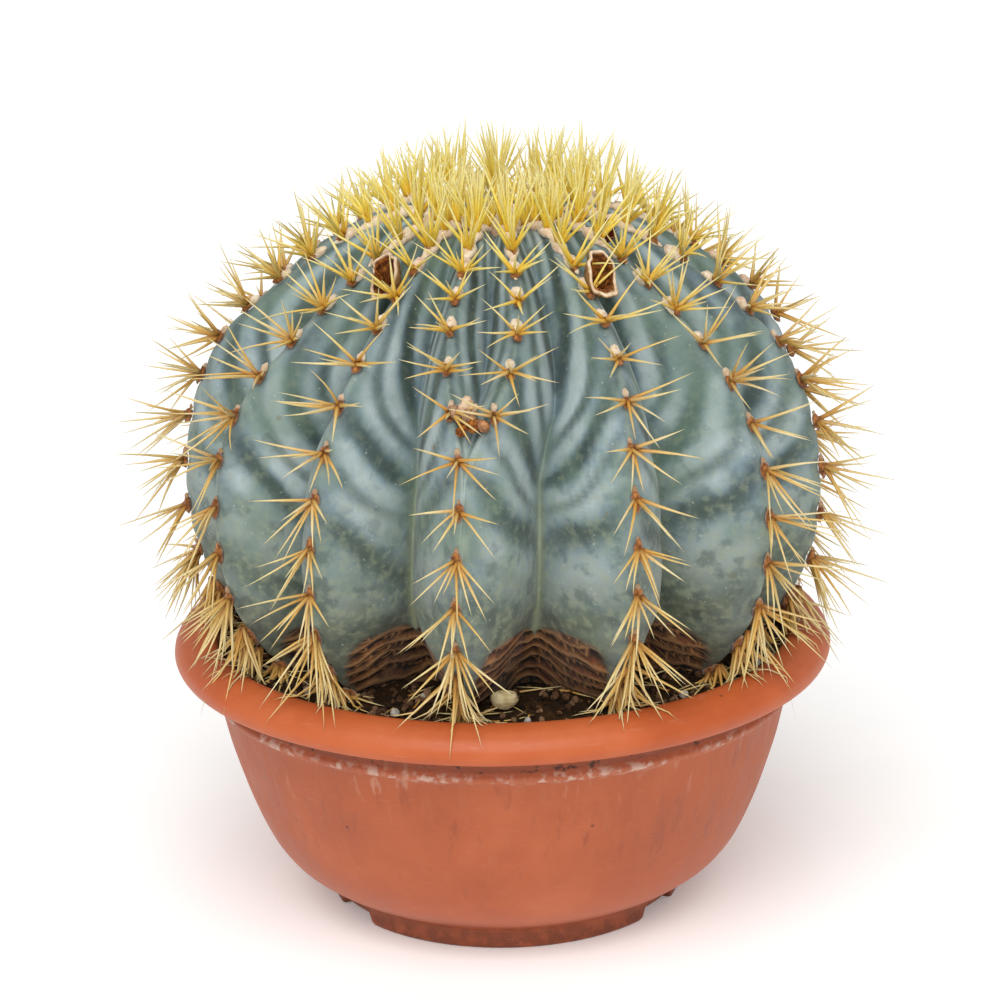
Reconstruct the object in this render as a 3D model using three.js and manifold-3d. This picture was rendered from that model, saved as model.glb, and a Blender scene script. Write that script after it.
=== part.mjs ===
// A round, ribbed cactus growing in a terracotta-coloured plastic bowl. Millimetres, +Z up.
// The origin is on the bowl's axis at the plane of its foot, and the front is towards -Y.
// Azimuths are in degrees, 0 at the front and growing towards +X.
import * as THREE from 'three';
import { mergeVertices } from 'three/addons/utils/BufferGeometryUtils.js';
import Module from 'manifold-3d';

const wasm = await Module();
wasm.setup();

// ---- Bowl ----
const RIM_RADIUS = 150;
const RIM_HEIGHT = 129.8;
const FOOT_RADIUS = 80.7;
const FOOT_WIDTH = 5.7;
const FLOOR_UNDERSIDE = 6;
const FLOOR_TOP = 9;
const BOWL_SIDES = 40;
const FOOT_GAP_AZIMUTHS = [-60, 60, 180];
const FOOT_GAP_LENGTH = 27;
const DRAIN_HOLES = 5;
const DRAIN_RADIUS = 5;
const DRAIN_CIRCLE = 46;

// ---- Soil ----
const SOIL_GAP = 0.4;
const SOIL_EDGE_HEIGHT = 120.5;
const SOIL_MOUND = 5.5;
const SOIL_HEAP_AZIMUTH = -105;
const SOIL_HEAP = 3;

// ---- Stem ----
// Each point is the crest's radius, its height, and how deep the furrows between ribs are there.
const STEM_AXIS_X = 2;
const STEM_OUTLINE = [
  [0, 312, 0], [16, 314, 1.5], [40, 320.5, 6], [61, 314, 12], [80, 304, 18], [98, 292.5, 24],
  [113, 279.5, 28.5], [124.5, 266.5, 32], [133.5, 249, 35], [140.5, 229, 37.5], [143.6, 206, 38],
  [142.8, 184, 37], [138.2, 163, 35], [130, 147, 33], [119, 133.5, 30], [104, 121.5, 26],
  [86, 109, 17], [58, 98, 6], [0, 92, 0],
];
const STEM_ROWS = 28;
const COLUMNS_PER_FURROW = 4;
const FULL_FURROW = 22;
const MERGED_RIBS = 1.5;

// Each rib's azimuth at the crown, at the fork's height and at the base. The fourth and fifth
// ribs are the two arms of a rib that forks, so below the fork they run together.
const RIBS = [
  { crown: -84, fork: -91, base: -89 },
  { crown: -50, fork: -61, base: -59 },
  { crown: -31, fork: -34, base: -40 },
  { crown: -13.3, fork: -7.6, base: -11.6 },
  { crown: 5, fork: -6.4, base: -10.4, arm: true },
  { crown: 26.5, fork: 22.8, base: 22.3 },
  { crown: 47, fork: 52, base: 52 },
  { crown: 73, fork: 79, base: 77 },
  { crown: 100, fork: 105, base: 106 },
  { crown: 127, fork: 133, base: 132 },
  { crown: 154, fork: 159, base: 161 },
  { crown: 181, fork: 186, base: 187 },
  { crown: 209, fork: 214, base: 213 },
  { crown: 240, fork: 241, base: 242 },
];
const CROWN_LEVEL = 0.2;
const FORK_LEVEL = 0.475;

// ---- Areoles and spines ----
const FIRST_AREOLE = 47;
const AREOLE_PITCH = 22;
const CROWN_CROWDING = 40;
const CROWDING_RANGE = 3.5;
const AREOLES_PER_ROW = 13;
const AREOLES_ON_ARM = 7;
const PAD_HALF_LENGTH = 3.2;
const PAD_HALF_WIDTH = 2.6;
const PAD_HEIGHT = 2.4;
const STRIP_HALF_WIDTH = 1.3;
const STRIP_HEIGHT = 1.1;
const CREST_GAP = 0.5;
const SPINE_LENGTH = 25;
const SPINE_VARIATION = 0.12;
const LOWEST_SPINE_TIP = 133;
const SIDE_REACH = 0.4;
// Where each spine leaves its areole: the half of the pad, the face of that half, the tilt away
// from the crest's outward direction, and the turn from the direction of the crown.
const SPINES = [
  { half: 0, face: 0, tilt: 52, turn: -66 },
  { half: 0, face: 1, tilt: 9, turn: 0 },
  { half: 0, face: 2, tilt: 52, turn: 66 },
  { half: 1, face: 0, tilt: 74, turn: -114 },
  { half: 1, face: 1, tilt: 27, turn: 180 },
  { half: 1, face: 2, tilt: 74, turn: 114 },
];

// ---- Crown, fruits and loose pieces ----
const WOOL_RADIUS = 28;
const WOOL_HEIGHT = 7;
const WOOL_GAP = 0.7;
const CROWN_SPINES = 22;
const CROWN_SPINE_LENGTH = 38;
const CROWN_SPINE_RADIUS = 1.1;
const FRUIT_OUTLINE = [
  [0, 0], [1.6, 0.4], [4, 4], [5, 9], [4.6, 12.5], [3.5, 12.5], [3.6, 9], [2.8, 5.5], [0, 4.5],
];
const PERLITE_CRUMBS = 6;

const GOLDEN_ANGLE = Math.PI * (3 - Math.sqrt(5));

// ---- Materials ----
const matte = (color, roughness) => new THREE.MeshStandardMaterial({ color, roughness, metalness: 0 });
const bowlPlastic = () => matte(0xc4694a, 0.55);
const pottingSoil = () => matte(0x38281d, 0.95);
const stemSkin = () => matte(0x7d918c, 0.6);
const spineHorn = () => matte(0xd9b25a, 0.5);
const crownFelt = () => matte(0xdcc98c, 0.9);
const driedSkin = () => matte(0x6f4523, 0.8);
const fieldStone = () => matte(0xc9b48c, 0.85);
const perlite = () => matte(0xd8d4cc, 0.9);

// A repeatable number from 0 to 1 for a pair of counts.
function scatter(first, second) {
  const value = Math.sin(first * 12.9898 + second * 78.233) * 43758.5453;
  return value - Math.floor(value);
}

// ---- Solids ----

// Shared vertices are merged, collapsed faces are dropped, and the faces are made to point out.
function closedGeometry(geometry) {
  geometry.deleteAttribute('normal');
  geometry.deleteAttribute('uv');
  const merged = mergeVertices(geometry, 1e-3);
  const index = merged.getIndex().array;
  const corner = [new THREE.Vector3(), new THREE.Vector3(), new THREE.Vector3()];
  const faces = [];
  let volume = 0;
  for (let i = 0; i < index.length; i += 3) {
    const [a, b, c] = index.slice(i, i + 3);
    if (a === b || b === c || c === a) continue;
    faces.push(a, b, c);
    corner.forEach((point, k) => point.fromBufferAttribute(merged.attributes.position, index[i + k]));
    volume += corner[0].dot(corner[1].clone().cross(corner[2]));
  }
  if (volume < 0) faces.reverse();
  merged.setIndex(faces);
  return merged;
}

function fromFaces(points, faces) {
  const geometry = new THREE.BufferGeometry().setFromPoints(points);
  geometry.setIndex(faces);
  return closedGeometry(geometry);
}

function toSolid(geometry) {
  const closed = closedGeometry(geometry);
  return new wasm.Manifold(new wasm.Mesh({
    numProp: 3,
    vertProperties: new Float32Array(closed.attributes.position.array),
    triVerts: new Uint32Array(closed.getIndex().array),
  }));
}

function fromSolid(solid) {
  const mesh = solid.getMesh();
  const geometry = new THREE.BufferGeometry();
  geometry.setAttribute('position', new THREE.BufferAttribute(mesh.vertProperties, 3));
  geometry.setIndex(Array.from(mesh.triVerts));
  return geometry;
}

function piece(name, geometry, material) {
  geometry.computeVertexNormals();
  const mesh = new THREE.Mesh(geometry, material);
  mesh.name = name;
  return mesh;
}

// A profile of [radius, height] points turned about Z, its seam at the front.
function turned(profile, sides) {
  const points = profile.map(([radius, height]) => new THREE.Vector2(radius, height));
  return new THREE.LatheGeometry(points, sides).rotateX(Math.PI / 2);
}

// ---- Bowl ----

function bowlOutline() {
  return [
    [0, FLOOR_UNDERSIDE], [FOOT_RADIUS - FOOT_WIDTH - 1.5, FLOOR_UNDERSIDE],
    [FOOT_RADIUS - FOOT_WIDTH, 0], [FOOT_RADIUS, 0], [80.2, 9], [85, 12.2], [93, 16.5],
    [101.5, 23], [108, 31.5], [113, 41.5], [118, 54], [122.3, 67], [126, 79], [129, 92],
    [131, 100], [134, 101.2], [134.4, 103.4], [132.8, 105.5], [133.8, 112.5], [145, 113.6],
    [148.6, 115.4], [RIM_RADIUS, 118.6], [149.4, 122], [146.8, 125.6], [142, 128.6],
    [136.5, RIM_HEIGHT], [132.8, 128.9], [130.2, 125.5], [129, 119], [127.6, 100],
    [125.6, 90], [122.4, 77.5], [114.6, 52], [109.4, 40], [104.4, 32], [98, 24.6],
    [89, 18], [78, FLOOR_TOP + 3.2], [70, FLOOR_TOP], [0, FLOOR_TOP],
  ];
}

function footGapCutter(azimuth) {
  const cutter = new THREE.BoxGeometry(FOOT_GAP_LENGTH, 3 * FOOT_WIDTH, 2 * FLOOR_UNDERSIDE);
  cutter.translate(0, -(FOOT_RADIUS - FOOT_WIDTH / 2), 0);
  return cutter.rotateZ(THREE.MathUtils.degToRad(azimuth));
}

function drainHoleCutter(number) {
  const cutter = new THREE.CylinderGeometry(DRAIN_RADIUS, DRAIN_RADIUS, 4 * FLOOR_TOP, 16);
  cutter.rotateX(Math.PI / 2).translate(DRAIN_CIRCLE, 0, 0);
  return cutter.rotateZ((number * 2 * Math.PI) / DRAIN_HOLES);
}

function bowl() {
  let solid = toSolid(turned(bowlOutline(), BOWL_SIDES));
  for (const azimuth of FOOT_GAP_AZIMUTHS) solid = solid.subtract(toSolid(footGapCutter(azimuth)));
  for (let i = 0; i < DRAIN_HOLES; i += 1) solid = solid.subtract(toSolid(drainHoleCutter(i)));
  return piece('bowl', fromSolid(solid), bowlPlastic());
}

// ---- Stem ----

const stemCurve = new THREE.CatmullRomCurve3(
  STEM_OUTLINE.map(([radius, height, depth]) => new THREE.Vector3(radius, height, depth)),
  false, 'catmullrom',
);

// The crest at a level from 0 at the crown's middle to 1 under the soil, with its outward normal.
function crestAt(level) {
  const point = stemCurve.getPoint(level);
  const tangent = stemCurve.getTangent(level);
  const run = Math.hypot(tangent.x, tangent.y);
  return {
    radius: point.x,
    height: point.y,
    depth: point.z,
    outward: [-tangent.y / run, tangent.x / run],
  };
}

function ribAzimuth(rib, level) {
  if (level < FORK_LEVEL) {
    const rise = Math.min(1, (FORK_LEVEL - level) / (FORK_LEVEL - CROWN_LEVEL));
    return THREE.MathUtils.lerp(rib.fork, rib.crown, Math.sin((rise * Math.PI) / 2));
  }
  return THREE.MathUtils.lerp(rib.fork, rib.base, (level - FORK_LEVEL) / (1 - FORK_LEVEL));
}

// A point a given distance below (or, if negative, above) the crest surface.
function stemPoint(level, azimuth, sink) {
  const { radius, height, outward } = crestAt(level);
  const turn = THREE.MathUtils.degToRad(azimuth);
  const reach = Math.max(0, radius - sink * outward[0]);
  return new THREE.Vector3(
    STEM_AXIS_X + reach * Math.sin(turn), -reach * Math.cos(turn), height - sink * outward[1],
  );
}

// The furrow's depth across the gap between two crests, 0 at each crest and 1 half-way.
function furrow(across) {
  const middle = 1 - Math.abs(2 * across - 1);
  return 0.62 * middle + 0.38 * middle * middle;
}

function stemRing(level, swell) {
  const ring = [];
  RIBS.forEach((rib, i) => {
    const next = RIBS[(i + 1) % RIBS.length];
    const from = ribAzimuth(rib, level);
    const gap = (ribAzimuth(next, level) - from + 360) % 360;
    const share = THREE.MathUtils.smoothstep(gap, MERGED_RIBS, FULL_FURROW);
    for (let k = 0; k < COLUMNS_PER_FURROW; k += 1) {
      const across = k / COLUMNS_PER_FURROW;
      const sink = crestAt(level).depth * share * furrow(across) - swell;
      ring.push(stemPoint(level, from + gap * across, sink));
    }
  });
  return ring;
}

// The whole stem as a grid of rings closed by a point at each end; swell grows it outwards.
function stemGeometry(swell) {
  const columns = RIBS.length * COLUMNS_PER_FURROW;
  const points = [stemPoint(0, 0, -swell)];
  const faces = [];
  for (let row = 1; row < STEM_ROWS; row += 1) points.push(...stemRing(row / STEM_ROWS, swell));
  points.push(stemPoint(1, 0, -swell));
  const at = (row, column) => 1 + (row - 1) * columns + (column % columns);
  for (let column = 0; column < columns; column += 1) {
    faces.push(0, at(1, column), at(1, column + 1));
    for (let row = 1; row < STEM_ROWS - 1; row += 1) {
      faces.push(at(row, column), at(row + 1, column), at(row + 1, column + 1));
      faces.push(at(row, column), at(row + 1, column + 1), at(row, column + 1));
    }
    faces.push(points.length - 1, at(STEM_ROWS - 1, column + 1), at(STEM_ROWS - 1, column));
  }
  return fromFaces(points, faces);
}

function cactusStem() {
  return piece('cactus_stem', stemGeometry(0), stemSkin());
}

// ---- Soil ----

// The soil rises towards the stem, and is heaped against the rim on one side.
function soilLift(x, y) {
  const radius = Math.hypot(x, y);
  const mound = SOIL_MOUND * (1 - THREE.MathUtils.smoothstep(radius, 98, 128));
  const bearing = Math.atan2(x, -y) - THREE.MathUtils.degToRad(SOIL_HEAP_AZIMUTH);
  const heap = SOIL_HEAP * Math.max(0, Math.cos(bearing)) ** 2 * THREE.MathUtils.smoothstep(radius, 90, 120);
  const lumps = 0.7 * Math.sin(x / 6.5) * Math.cos(y / 7.5);
  return mound + heap + lumps;
}

function soilOutline() {
  const wall = [[70, FLOOR_TOP], [78, 12.2], [89, 18], [98, 24.6], [104.4, 32], [109.4, 40], [114.6, 52],
    [122.4, 77.5], [125.6, 90], [127.6, 100]];
  const inside = wall.map(([radius, height]) => [radius - SOIL_GAP * 1.3, height + SOIL_GAP * 1.3]);
  const surface = [128.2, 120, 111, 102, 92, 82].map((radius) => [radius, SOIL_EDGE_HEIGHT]);
  return [[0, FLOOR_TOP + SOIL_GAP], ...inside, ...surface, [0, SOIL_EDGE_HEIGHT]];
}

function soil() {
  const geometry = turned(soilOutline(), BOWL_SIDES);
  const position = geometry.attributes.position;
  for (let i = 0; i < position.count; i += 1) {
    if (position.getZ(i) < SOIL_EDGE_HEIGHT - 0.1) continue;
    position.setZ(i, position.getZ(i) + soilLift(position.getX(i), position.getY(i)));
  }
  const solid = toSolid(geometry).subtract(toSolid(stemGeometry(SOIL_GAP)));
  return piece('soil', fromSolid(solid), pottingSoil());
}

// ---- Spine rows ----

// Levels at equal small steps of the crest's length, for finding a level by its distance.
const CREST_STEPS = 600;
const crestLengths = [0];
for (let i = 1; i <= CREST_STEPS; i += 1) {
  const before = crestAt((i - 1) / CREST_STEPS);
  const here = crestAt(i / CREST_STEPS);
  crestLengths.push(crestLengths[i - 1] + Math.hypot(here.radius - before.radius, here.height - before.height));
}

function levelAt(distance) {
  const above = crestLengths.findIndex((length) => length >= distance);
  const step = crestLengths[above] - crestLengths[above - 1];
  return (above - 1 + (distance - crestLengths[above - 1]) / step) / CREST_STEPS;
}

// Areoles crowd together towards the crown.
function areoleDistance(rowNumber, areole) {
  const crowding = CROWN_CROWDING * (1 - Math.exp(-areole / CROWDING_RANGE));
  const shift = 5 * scatter(rowNumber, 7) - 2.5;
  return FIRST_AREOLE + AREOLE_PITCH * areole - crowding + shift * Math.min(1, areole / 3);
}

// Directions on the crest: across to the right, up towards the crown, and outwards.
function crestFrame(rib, level) {
  const azimuth = ribAzimuth(rib, level);
  const turn = THREE.MathUtils.degToRad(azimuth);
  const [side, rise] = crestAt(level).outward;
  return {
    azimuth,
    across: new THREE.Vector3(Math.cos(turn), Math.sin(turn), 0),
    up: new THREE.Vector3(-rise * Math.sin(turn), rise * Math.cos(turn), side),
    out: new THREE.Vector3(side * Math.sin(turn), -side * Math.cos(turn), rise),
  };
}

// Half of the way round to the next separate crest on one side, as a length.
function roomBeside(ribNumber, level, side) {
  const count = RIBS.length;
  const here = ribAzimuth(RIBS[ribNumber], level);
  for (let k = 1; k < count; k += 1) {
    const other = ribAzimuth(RIBS[(ribNumber + side * k + count) % count], level);
    const gap = (side * (other - here) + 720) % 360;
    if (gap > 3) return crestAt(level).radius * THREE.MathUtils.degToRad(gap);
  }
  return 0;
}

// A four-sided section of the strip that joins the areoles, its broad side to the crest.
function stripSection(rib, level, halfWidth, height) {
  const { azimuth, across, out } = crestFrame(rib, level);
  const centre = stemPoint(level, azimuth, -CREST_GAP);
  const corners = [[-1, 0], [-0.5, 1], [0.5, 1], [1, 0]];
  return corners.map(([x, y]) => centre.clone()
    .addScaledVector(across, x * halfWidth)
    .addScaledVector(out, y * height));
}

// The tip of one spine. Spines near the crown stand more upright, and none passes the middle
// of a furrow near the crown or dips to the bowl's rim.
function spineTip(ribNumber, areole, level, spine, number) {
  const { across, up, out } = crestFrame(RIBS[ribNumber], level);
  const key = ribNumber * 29 + areole;
  const spread = THREE.MathUtils.lerp(0.3, 1, THREE.MathUtils.smoothstep(areole, -1, 4));
  const tilt = THREE.MathUtils.degToRad((spine.tilt + 8 * scatter(key, number) - 4) * spread);
  const turn = THREE.MathUtils.degToRad(spine.turn + 10 * scatter(key, number + 20) - 5);
  const length = SPINE_LENGTH * (1 + SPINE_VARIATION * (2 * scatter(key, number + 40) - 1));
  const sideways = length * Math.sin(tilt) * Math.sin(turn);
  const limit = SIDE_REACH * roomBeside(ribNumber, level, Math.sign(sideways) || 1);
  const tip = stemPoint(level, ribAzimuth(RIBS[ribNumber], level), -CREST_GAP - PAD_HEIGHT)
    .addScaledVector(out, length * Math.cos(tilt))
    .addScaledVector(up, length * Math.sin(tilt) * Math.cos(turn))
    .addScaledVector(across, THREE.MathUtils.clamp(sideways, -limit, limit));
  tip.z = Math.max(tip.z, LOWEST_SPINE_TIP);
  return tip;
}

// One strip of areoles along a crest: a bar of four-sided sections that swells into a pad at each
// areole, where the outer faces of the pad are drawn out into spines.
function spineRow(rib, ribNumber) {
  const points = [];
  const faces = [];
  const quad = (a, b, c, d) => faces.push(a, b, c, a, c, d);
  const spike = (a, b, c, d, tip) => {
    const apex = points.push(tip) - 1;
    faces.push(a, b, apex, b, c, apex, c, d, apex, d, a, apex);
  };
  const addSection = (level, halfWidth, height) => points.push(...stripSection(rib, level, halfWidth, height)) - 4;
  const joinSections = (upper, lower, drawFace) => {
    for (let k = 0; k < 4; k += 1) {
      const next = (k + 1) % 4;
      drawFace(k, upper + k, upper + next, lower + next, lower + k);
    }
  };
  const plainFace = (k, a, b, c, d) => quad(a, b, c, d);

  let last = -1;
  const count = rib.arm ? AREOLES_ON_ARM : AREOLES_PER_ROW;
  for (let areole = 0; areole < count; areole += 1) {
    const distance = areoleDistance(ribNumber, areole);
    const middle = levelAt(distance);
    const upper = addSection(levelAt(distance - PAD_HALF_LENGTH), STRIP_HALF_WIDTH, STRIP_HEIGHT);
    const pad = addSection(middle, PAD_HALF_WIDTH, PAD_HEIGHT);
    const lower = addSection(levelAt(distance + PAD_HALF_LENGTH), STRIP_HALF_WIDTH, STRIP_HEIGHT);
    if (last < 0) quad(upper, upper + 3, upper + 2, upper + 1);
    else joinSections(last, upper, plainFace);
    [[upper, pad], [pad, lower]].forEach(([from, to], half) => {
      joinSections(from, to, (k, a, b, c, d) => {
        const number = SPINES.findIndex((spine) => spine.half === half && spine.face === k);
        if (number < 0) quad(a, b, c, d);
        else spike(a, b, c, d, spineTip(ribNumber, areole, middle, SPINES[number], number));
      });
    });
    last = lower;
  }
  quad(last, last + 1, last + 2, last + 3);
  const name = `spine_row_${String(ribNumber + 1).padStart(2, '0')}`;
  return piece(name, fromFaces(points, faces), spineHorn());
}

// ---- Crown ----

// A cushion of felt that lies in the crown's dip, with the young spines standing in it.
function crownWool() {
  const seat = [0, 0.25, 0.5, 0.75, 1].map((part) => {
    const { radius, height } = crestAt(levelAt(part * WOOL_RADIUS + 0.001));
    return [part === 0 ? 0 : radius, height + WOOL_GAP];
  });
  const edge = seat[4];
  const dome = [0.9, 0.6, 0.3, 0].map((part) => [
    edge[0] * part, edge[1] + 1 + (WOOL_HEIGHT - 1) * (1 - part * part) - 3 * (1 - part) ** 2,
  ]);
  let solid = toSolid(turned([...seat, ...dome], 20).translate(STEM_AXIS_X, 0, 0));
  for (let i = 0; i < CROWN_SPINES; i += 1) solid = solid.add(toSolid(crownSpine(i, edge[1])));
  return piece('crown_wool', fromSolid(solid), crownFelt());
}

function crownSpine(number, height) {
  const radius = (WOOL_RADIUS - 5) * Math.sqrt((number + 0.5) / CROWN_SPINES);
  const length = CROWN_SPINE_LENGTH * (1 - 0.25 * scatter(number, 3));
  const spine = new THREE.ConeGeometry(CROWN_SPINE_RADIUS, length, 4);
  spine.rotateX(Math.PI / 2).translate(0, 0, length / 2);
  spine.rotateX(0.45 * (radius / WOOL_RADIUS)).translate(0, -radius, height + 1.5);
  return spine.rotateZ(number * GOLDEN_ANGLE).translate(STEM_AXIS_X, 0, 0);
}

// ---- Dried fruits and flowers ----

// A small open cup on the flank of a rib, standing outwards from the stem.
function driedCup(name, azimuth, distance, sink, size) {
  const level = levelAt(distance);
  const out = crestFrame({ crown: azimuth, fork: azimuth, base: azimuth }, level).out;
  const cup = turned(FRUIT_OUTLINE, 8).scale(size, size, size);
  const upright = new THREE.Vector3(0, 0, 1);
  cup.applyQuaternion(new THREE.Quaternion().setFromUnitVectors(upright, out));
  const mesh = piece(name, closedGeometry(cup), driedSkin());
  mesh.position.copy(stemPoint(level, azimuth, sink));
  return mesh;
}

// ---- Loose pieces on the soil ----

function pebble(name, azimuth, radius, size, seed, material) {
  const lump = closedGeometry(new THREE.IcosahedronGeometry(1, 1));
  const position = lump.attributes.position;
  for (let i = 0; i < position.count; i += 1) {
    const swell = 0.85 + 0.3 * scatter(seed, i);
    position.setXYZ(i, position.getX(i) * swell, position.getY(i) * swell, position.getZ(i) * swell);
  }
  lump.scale(size[0] / 2, size[1] / 2, size[2] / 2);
  lump.computeBoundingBox();
  const turn = THREE.MathUtils.degToRad(azimuth);
  const mesh = piece(name, lump, material);
  const x = STEM_AXIS_X + radius * Math.sin(turn);
  const y = -radius * Math.cos(turn);
  mesh.position.set(x, y, SOIL_EDGE_HEIGHT + soilLift(x, y) - lump.boundingBox.min.z + 1.2);
  return mesh;
}

function perliteCrumb(number) {
  const size = 3 + 1.6 * scatter(number, 1);
  const azimuth = [4, 40, -24, -47, 66, 128][number];
  return pebble(`perlite_${number + 1}`, azimuth, 119 + 3 * scatter(number, 2), [size, size, size], number, perlite());
}

const plant = new THREE.Group();
plant.add(cactusStem());
RIBS.forEach((rib, i) => plant.add(spineRow(rib, i)));
plant.add(crownWool());
plant.add(driedCup('dried_fruit_left', -38, 88, 8.8, 1.1));
plant.add(driedCup('dried_fruit_right', 34, 88, 9.4, 1.15));
plant.add(driedCup('dried_bud_in_fork', -6, 148, 3, 0.75));
plant.add(driedCup('dried_flower', 56, 58, 5.4, 0.75));

const holder = new THREE.Group();
holder.add(bowl());
holder.add(soil());
holder.add(pebble('stone', -1, 108, [11, 9, 8.5], 5, fieldStone()));
for (let i = 0; i < PERLITE_CRUMBS; i += 1) holder.add(perliteCrumb(i));

const pottedCactus = new THREE.Group();
pottedCactus.add(holder);
pottedCactus.add(plant);

export default pottedCactus;
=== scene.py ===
import itertools
import math

import bpy
import numpy as np
from mathutils import Matrix, Vector


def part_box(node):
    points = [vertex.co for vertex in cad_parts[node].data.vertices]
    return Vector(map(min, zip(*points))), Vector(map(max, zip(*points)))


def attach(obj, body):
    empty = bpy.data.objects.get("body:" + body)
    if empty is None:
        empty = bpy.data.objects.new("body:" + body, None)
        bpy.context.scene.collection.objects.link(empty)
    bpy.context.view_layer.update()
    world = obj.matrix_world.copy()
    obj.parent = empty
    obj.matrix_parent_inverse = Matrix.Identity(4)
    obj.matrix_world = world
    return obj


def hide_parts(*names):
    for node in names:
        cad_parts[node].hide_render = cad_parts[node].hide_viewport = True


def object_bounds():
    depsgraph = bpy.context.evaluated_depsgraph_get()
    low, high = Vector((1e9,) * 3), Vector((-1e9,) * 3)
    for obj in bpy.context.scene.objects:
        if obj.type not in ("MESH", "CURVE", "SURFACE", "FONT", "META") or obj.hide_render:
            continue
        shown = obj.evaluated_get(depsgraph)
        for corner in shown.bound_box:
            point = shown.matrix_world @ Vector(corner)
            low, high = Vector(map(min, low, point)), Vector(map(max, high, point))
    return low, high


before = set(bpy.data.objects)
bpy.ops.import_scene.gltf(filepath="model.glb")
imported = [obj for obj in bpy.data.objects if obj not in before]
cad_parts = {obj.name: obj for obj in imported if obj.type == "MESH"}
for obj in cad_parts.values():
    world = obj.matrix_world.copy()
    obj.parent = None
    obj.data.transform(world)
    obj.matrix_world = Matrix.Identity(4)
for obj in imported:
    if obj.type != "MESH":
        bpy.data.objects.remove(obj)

CAD_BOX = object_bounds()
RIM_WIDTH = 300
BOWL_LOW, BOWL_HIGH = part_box("bowl")
MM = (BOWL_HIGH.x - BOWL_LOW.x) / RIM_WIDTH

# ---- Stem ----
# Each point is the crest's radius, its height above the buried tip, and the furrows' depth.
STEM_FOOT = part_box("cactus_stem")[0].z / MM
STEM_AXIS_X = 2
STEM_OUTLINE = np.array([
    [0, 220, 0], [16, 222, 1.5], [40, 228.5, 6], [61, 222, 12], [80, 212, 18], [98, 200.5, 24],
    [113, 187.5, 28.5], [124.5, 174.5, 32], [133.5, 157, 35], [140.5, 137, 37.5], [143.6, 114, 38],
    [142.8, 92, 37], [138.2, 71, 35], [130, 55, 33], [119, 41.5, 30], [104, 29.5, 26],
    [86, 17, 17], [58, 6, 6], [0, 0, 0],
])
# Each rib's azimuth at the crown, at the fork's height and at the base. Ribs 3 and 4, counted
# from 0, are the arms of a rib that forks.
RIBS = np.array([
    [-84, -91, -89], [-50, -61, -59], [-31, -34, -40], [-13.3, -7.6, -11.6], [5, -6.4, -10.4],
    [26.5, 22.8, 22.3], [47, 52, 52], [73, 79, 77], [100, 105, 106], [127, 133, 132],
    [154, 159, 161], [181, 186, 187], [209, 214, 213], [240, 241, 242],
])
ARM = 4
RIB_COUNT = len(RIBS)
CROWN_LEVEL, FORK_LEVEL = 0.2, 0.475
MERGED_GAP, FULL_GAP = 1.5, 22
# The skin's rows of points: how far down the crest each stretch of them ends, and its number.
SKIN_STRETCHES = ((258, 118), (322, 42), (None, 10))
SKIN_COLUMNS = 40
# The height of the fine and the broad folds, near the crown and lower down, the depth of the
# notch at an areole, and how far the cork lies below the skin and its ledges stand out.
FINE_FOLDS, BROAD_FOLDS = (1.75, 0.35), (0.5, 1.9)
NOTCH_DEPTH, CORK_DEPTH, LEDGE_HEIGHT = 1.3, 2.8, 2.6
# The cork starts this far down a crest. It climbs between the crests, dips again at the furrow,
# and lies in layers of this height.
CORK_AT_CREST, CORK_RISE, CORK_DIP, CORK_LAYER = 301, 45, 30, 6.4
# How high the cork climbs in the gap after each rib, as a share of CORK_RISE.
CORK_SHARES = np.array([0.6, 0.6, 0.85, 1, 1, 0.55, 0.5, 0.6, 0.75, 0.65, 0.8, 0.6, 0.7, 0.55])
# How far above the cork the skin is darkened by painted shade in the same gaps.
SHADE_ABOVE_CORK_REACH = np.array([44, 52, 74, 34, 36, 56, 50, 44, 48, 40, 52, 44, 50, 46])

# ---- Areoles and spines ----
# How far down the crest the first areole lies, and the step from one to the next. The lower ones
# are drawn up by CROWDING in all, most of it over the first few.
FIRST_AREOLE, AREOLE_PITCH = 47, 22
CROWDING, CROWDING_RANGE = 40, 3.5
AREOLES, AREOLES_ON_ARM = 14, 7
# How far down the crest the youngest areoles lie, at the edge of the crown's cushion.
CROWN_AREOLES = (27, 37)
# How far along a spine its rings of points lie, before its tip.
SPINE_STATIONS = np.array([0, 0.07, 0.3, 0.58, 0.84])
SPINE_SIDES = 5
SPINE_RADIUS, YOUNG_RADIUS = 0.86, 1.02
# The ribs whose foot bears a thicket of old spines, and how many each low areole has there.
THICKET_RIBS, THICKET = (0, 1, 13), 13
# The ribs that face the front, whose areoles hold fewer spines.
FRONT_RIBS = (2, 3, 4, 5)
# The spines' length on the arms of the fork, on the other ribs' upper half, on their lower half,
# and at the crown's edge.
FORK_SPINES, HIGH_SPINES, LOW_SPINES, EDGE_SPINES = 22, 27.5, 31.5, 30
# The length of the spine in an areole's middle, and of the low ones at the front, as shares.
CENTRAL_SHARE, FRONT_SHARE = 0.9, 0.85
# An areole's spines, the usual eight and then five spare ones: the turn from the crown's
# direction, and the tilt from the crest's normal.
SPINE_TURNS = np.array([-56, -90, -128, 56, 90, 128, 180, 180, 8, -30, 34, -75, 100])
SPINE_TILTS = np.array([52, 57, 55, 52, 57, 55, 20, 60, 26, 38, 42, 36, 32])
CENTRAL, HANGING, USUAL = 6, 7, 8
# How far the spines stray from these in degrees, their lengths' range as shares, and the chance
# that one is still there.
TURN_STRAY, TILT_STRAY = 11, 6.5
SHORTEST, LONGEST = 0.74, 1.1
SPINE_CHANCE = 0.91

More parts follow.
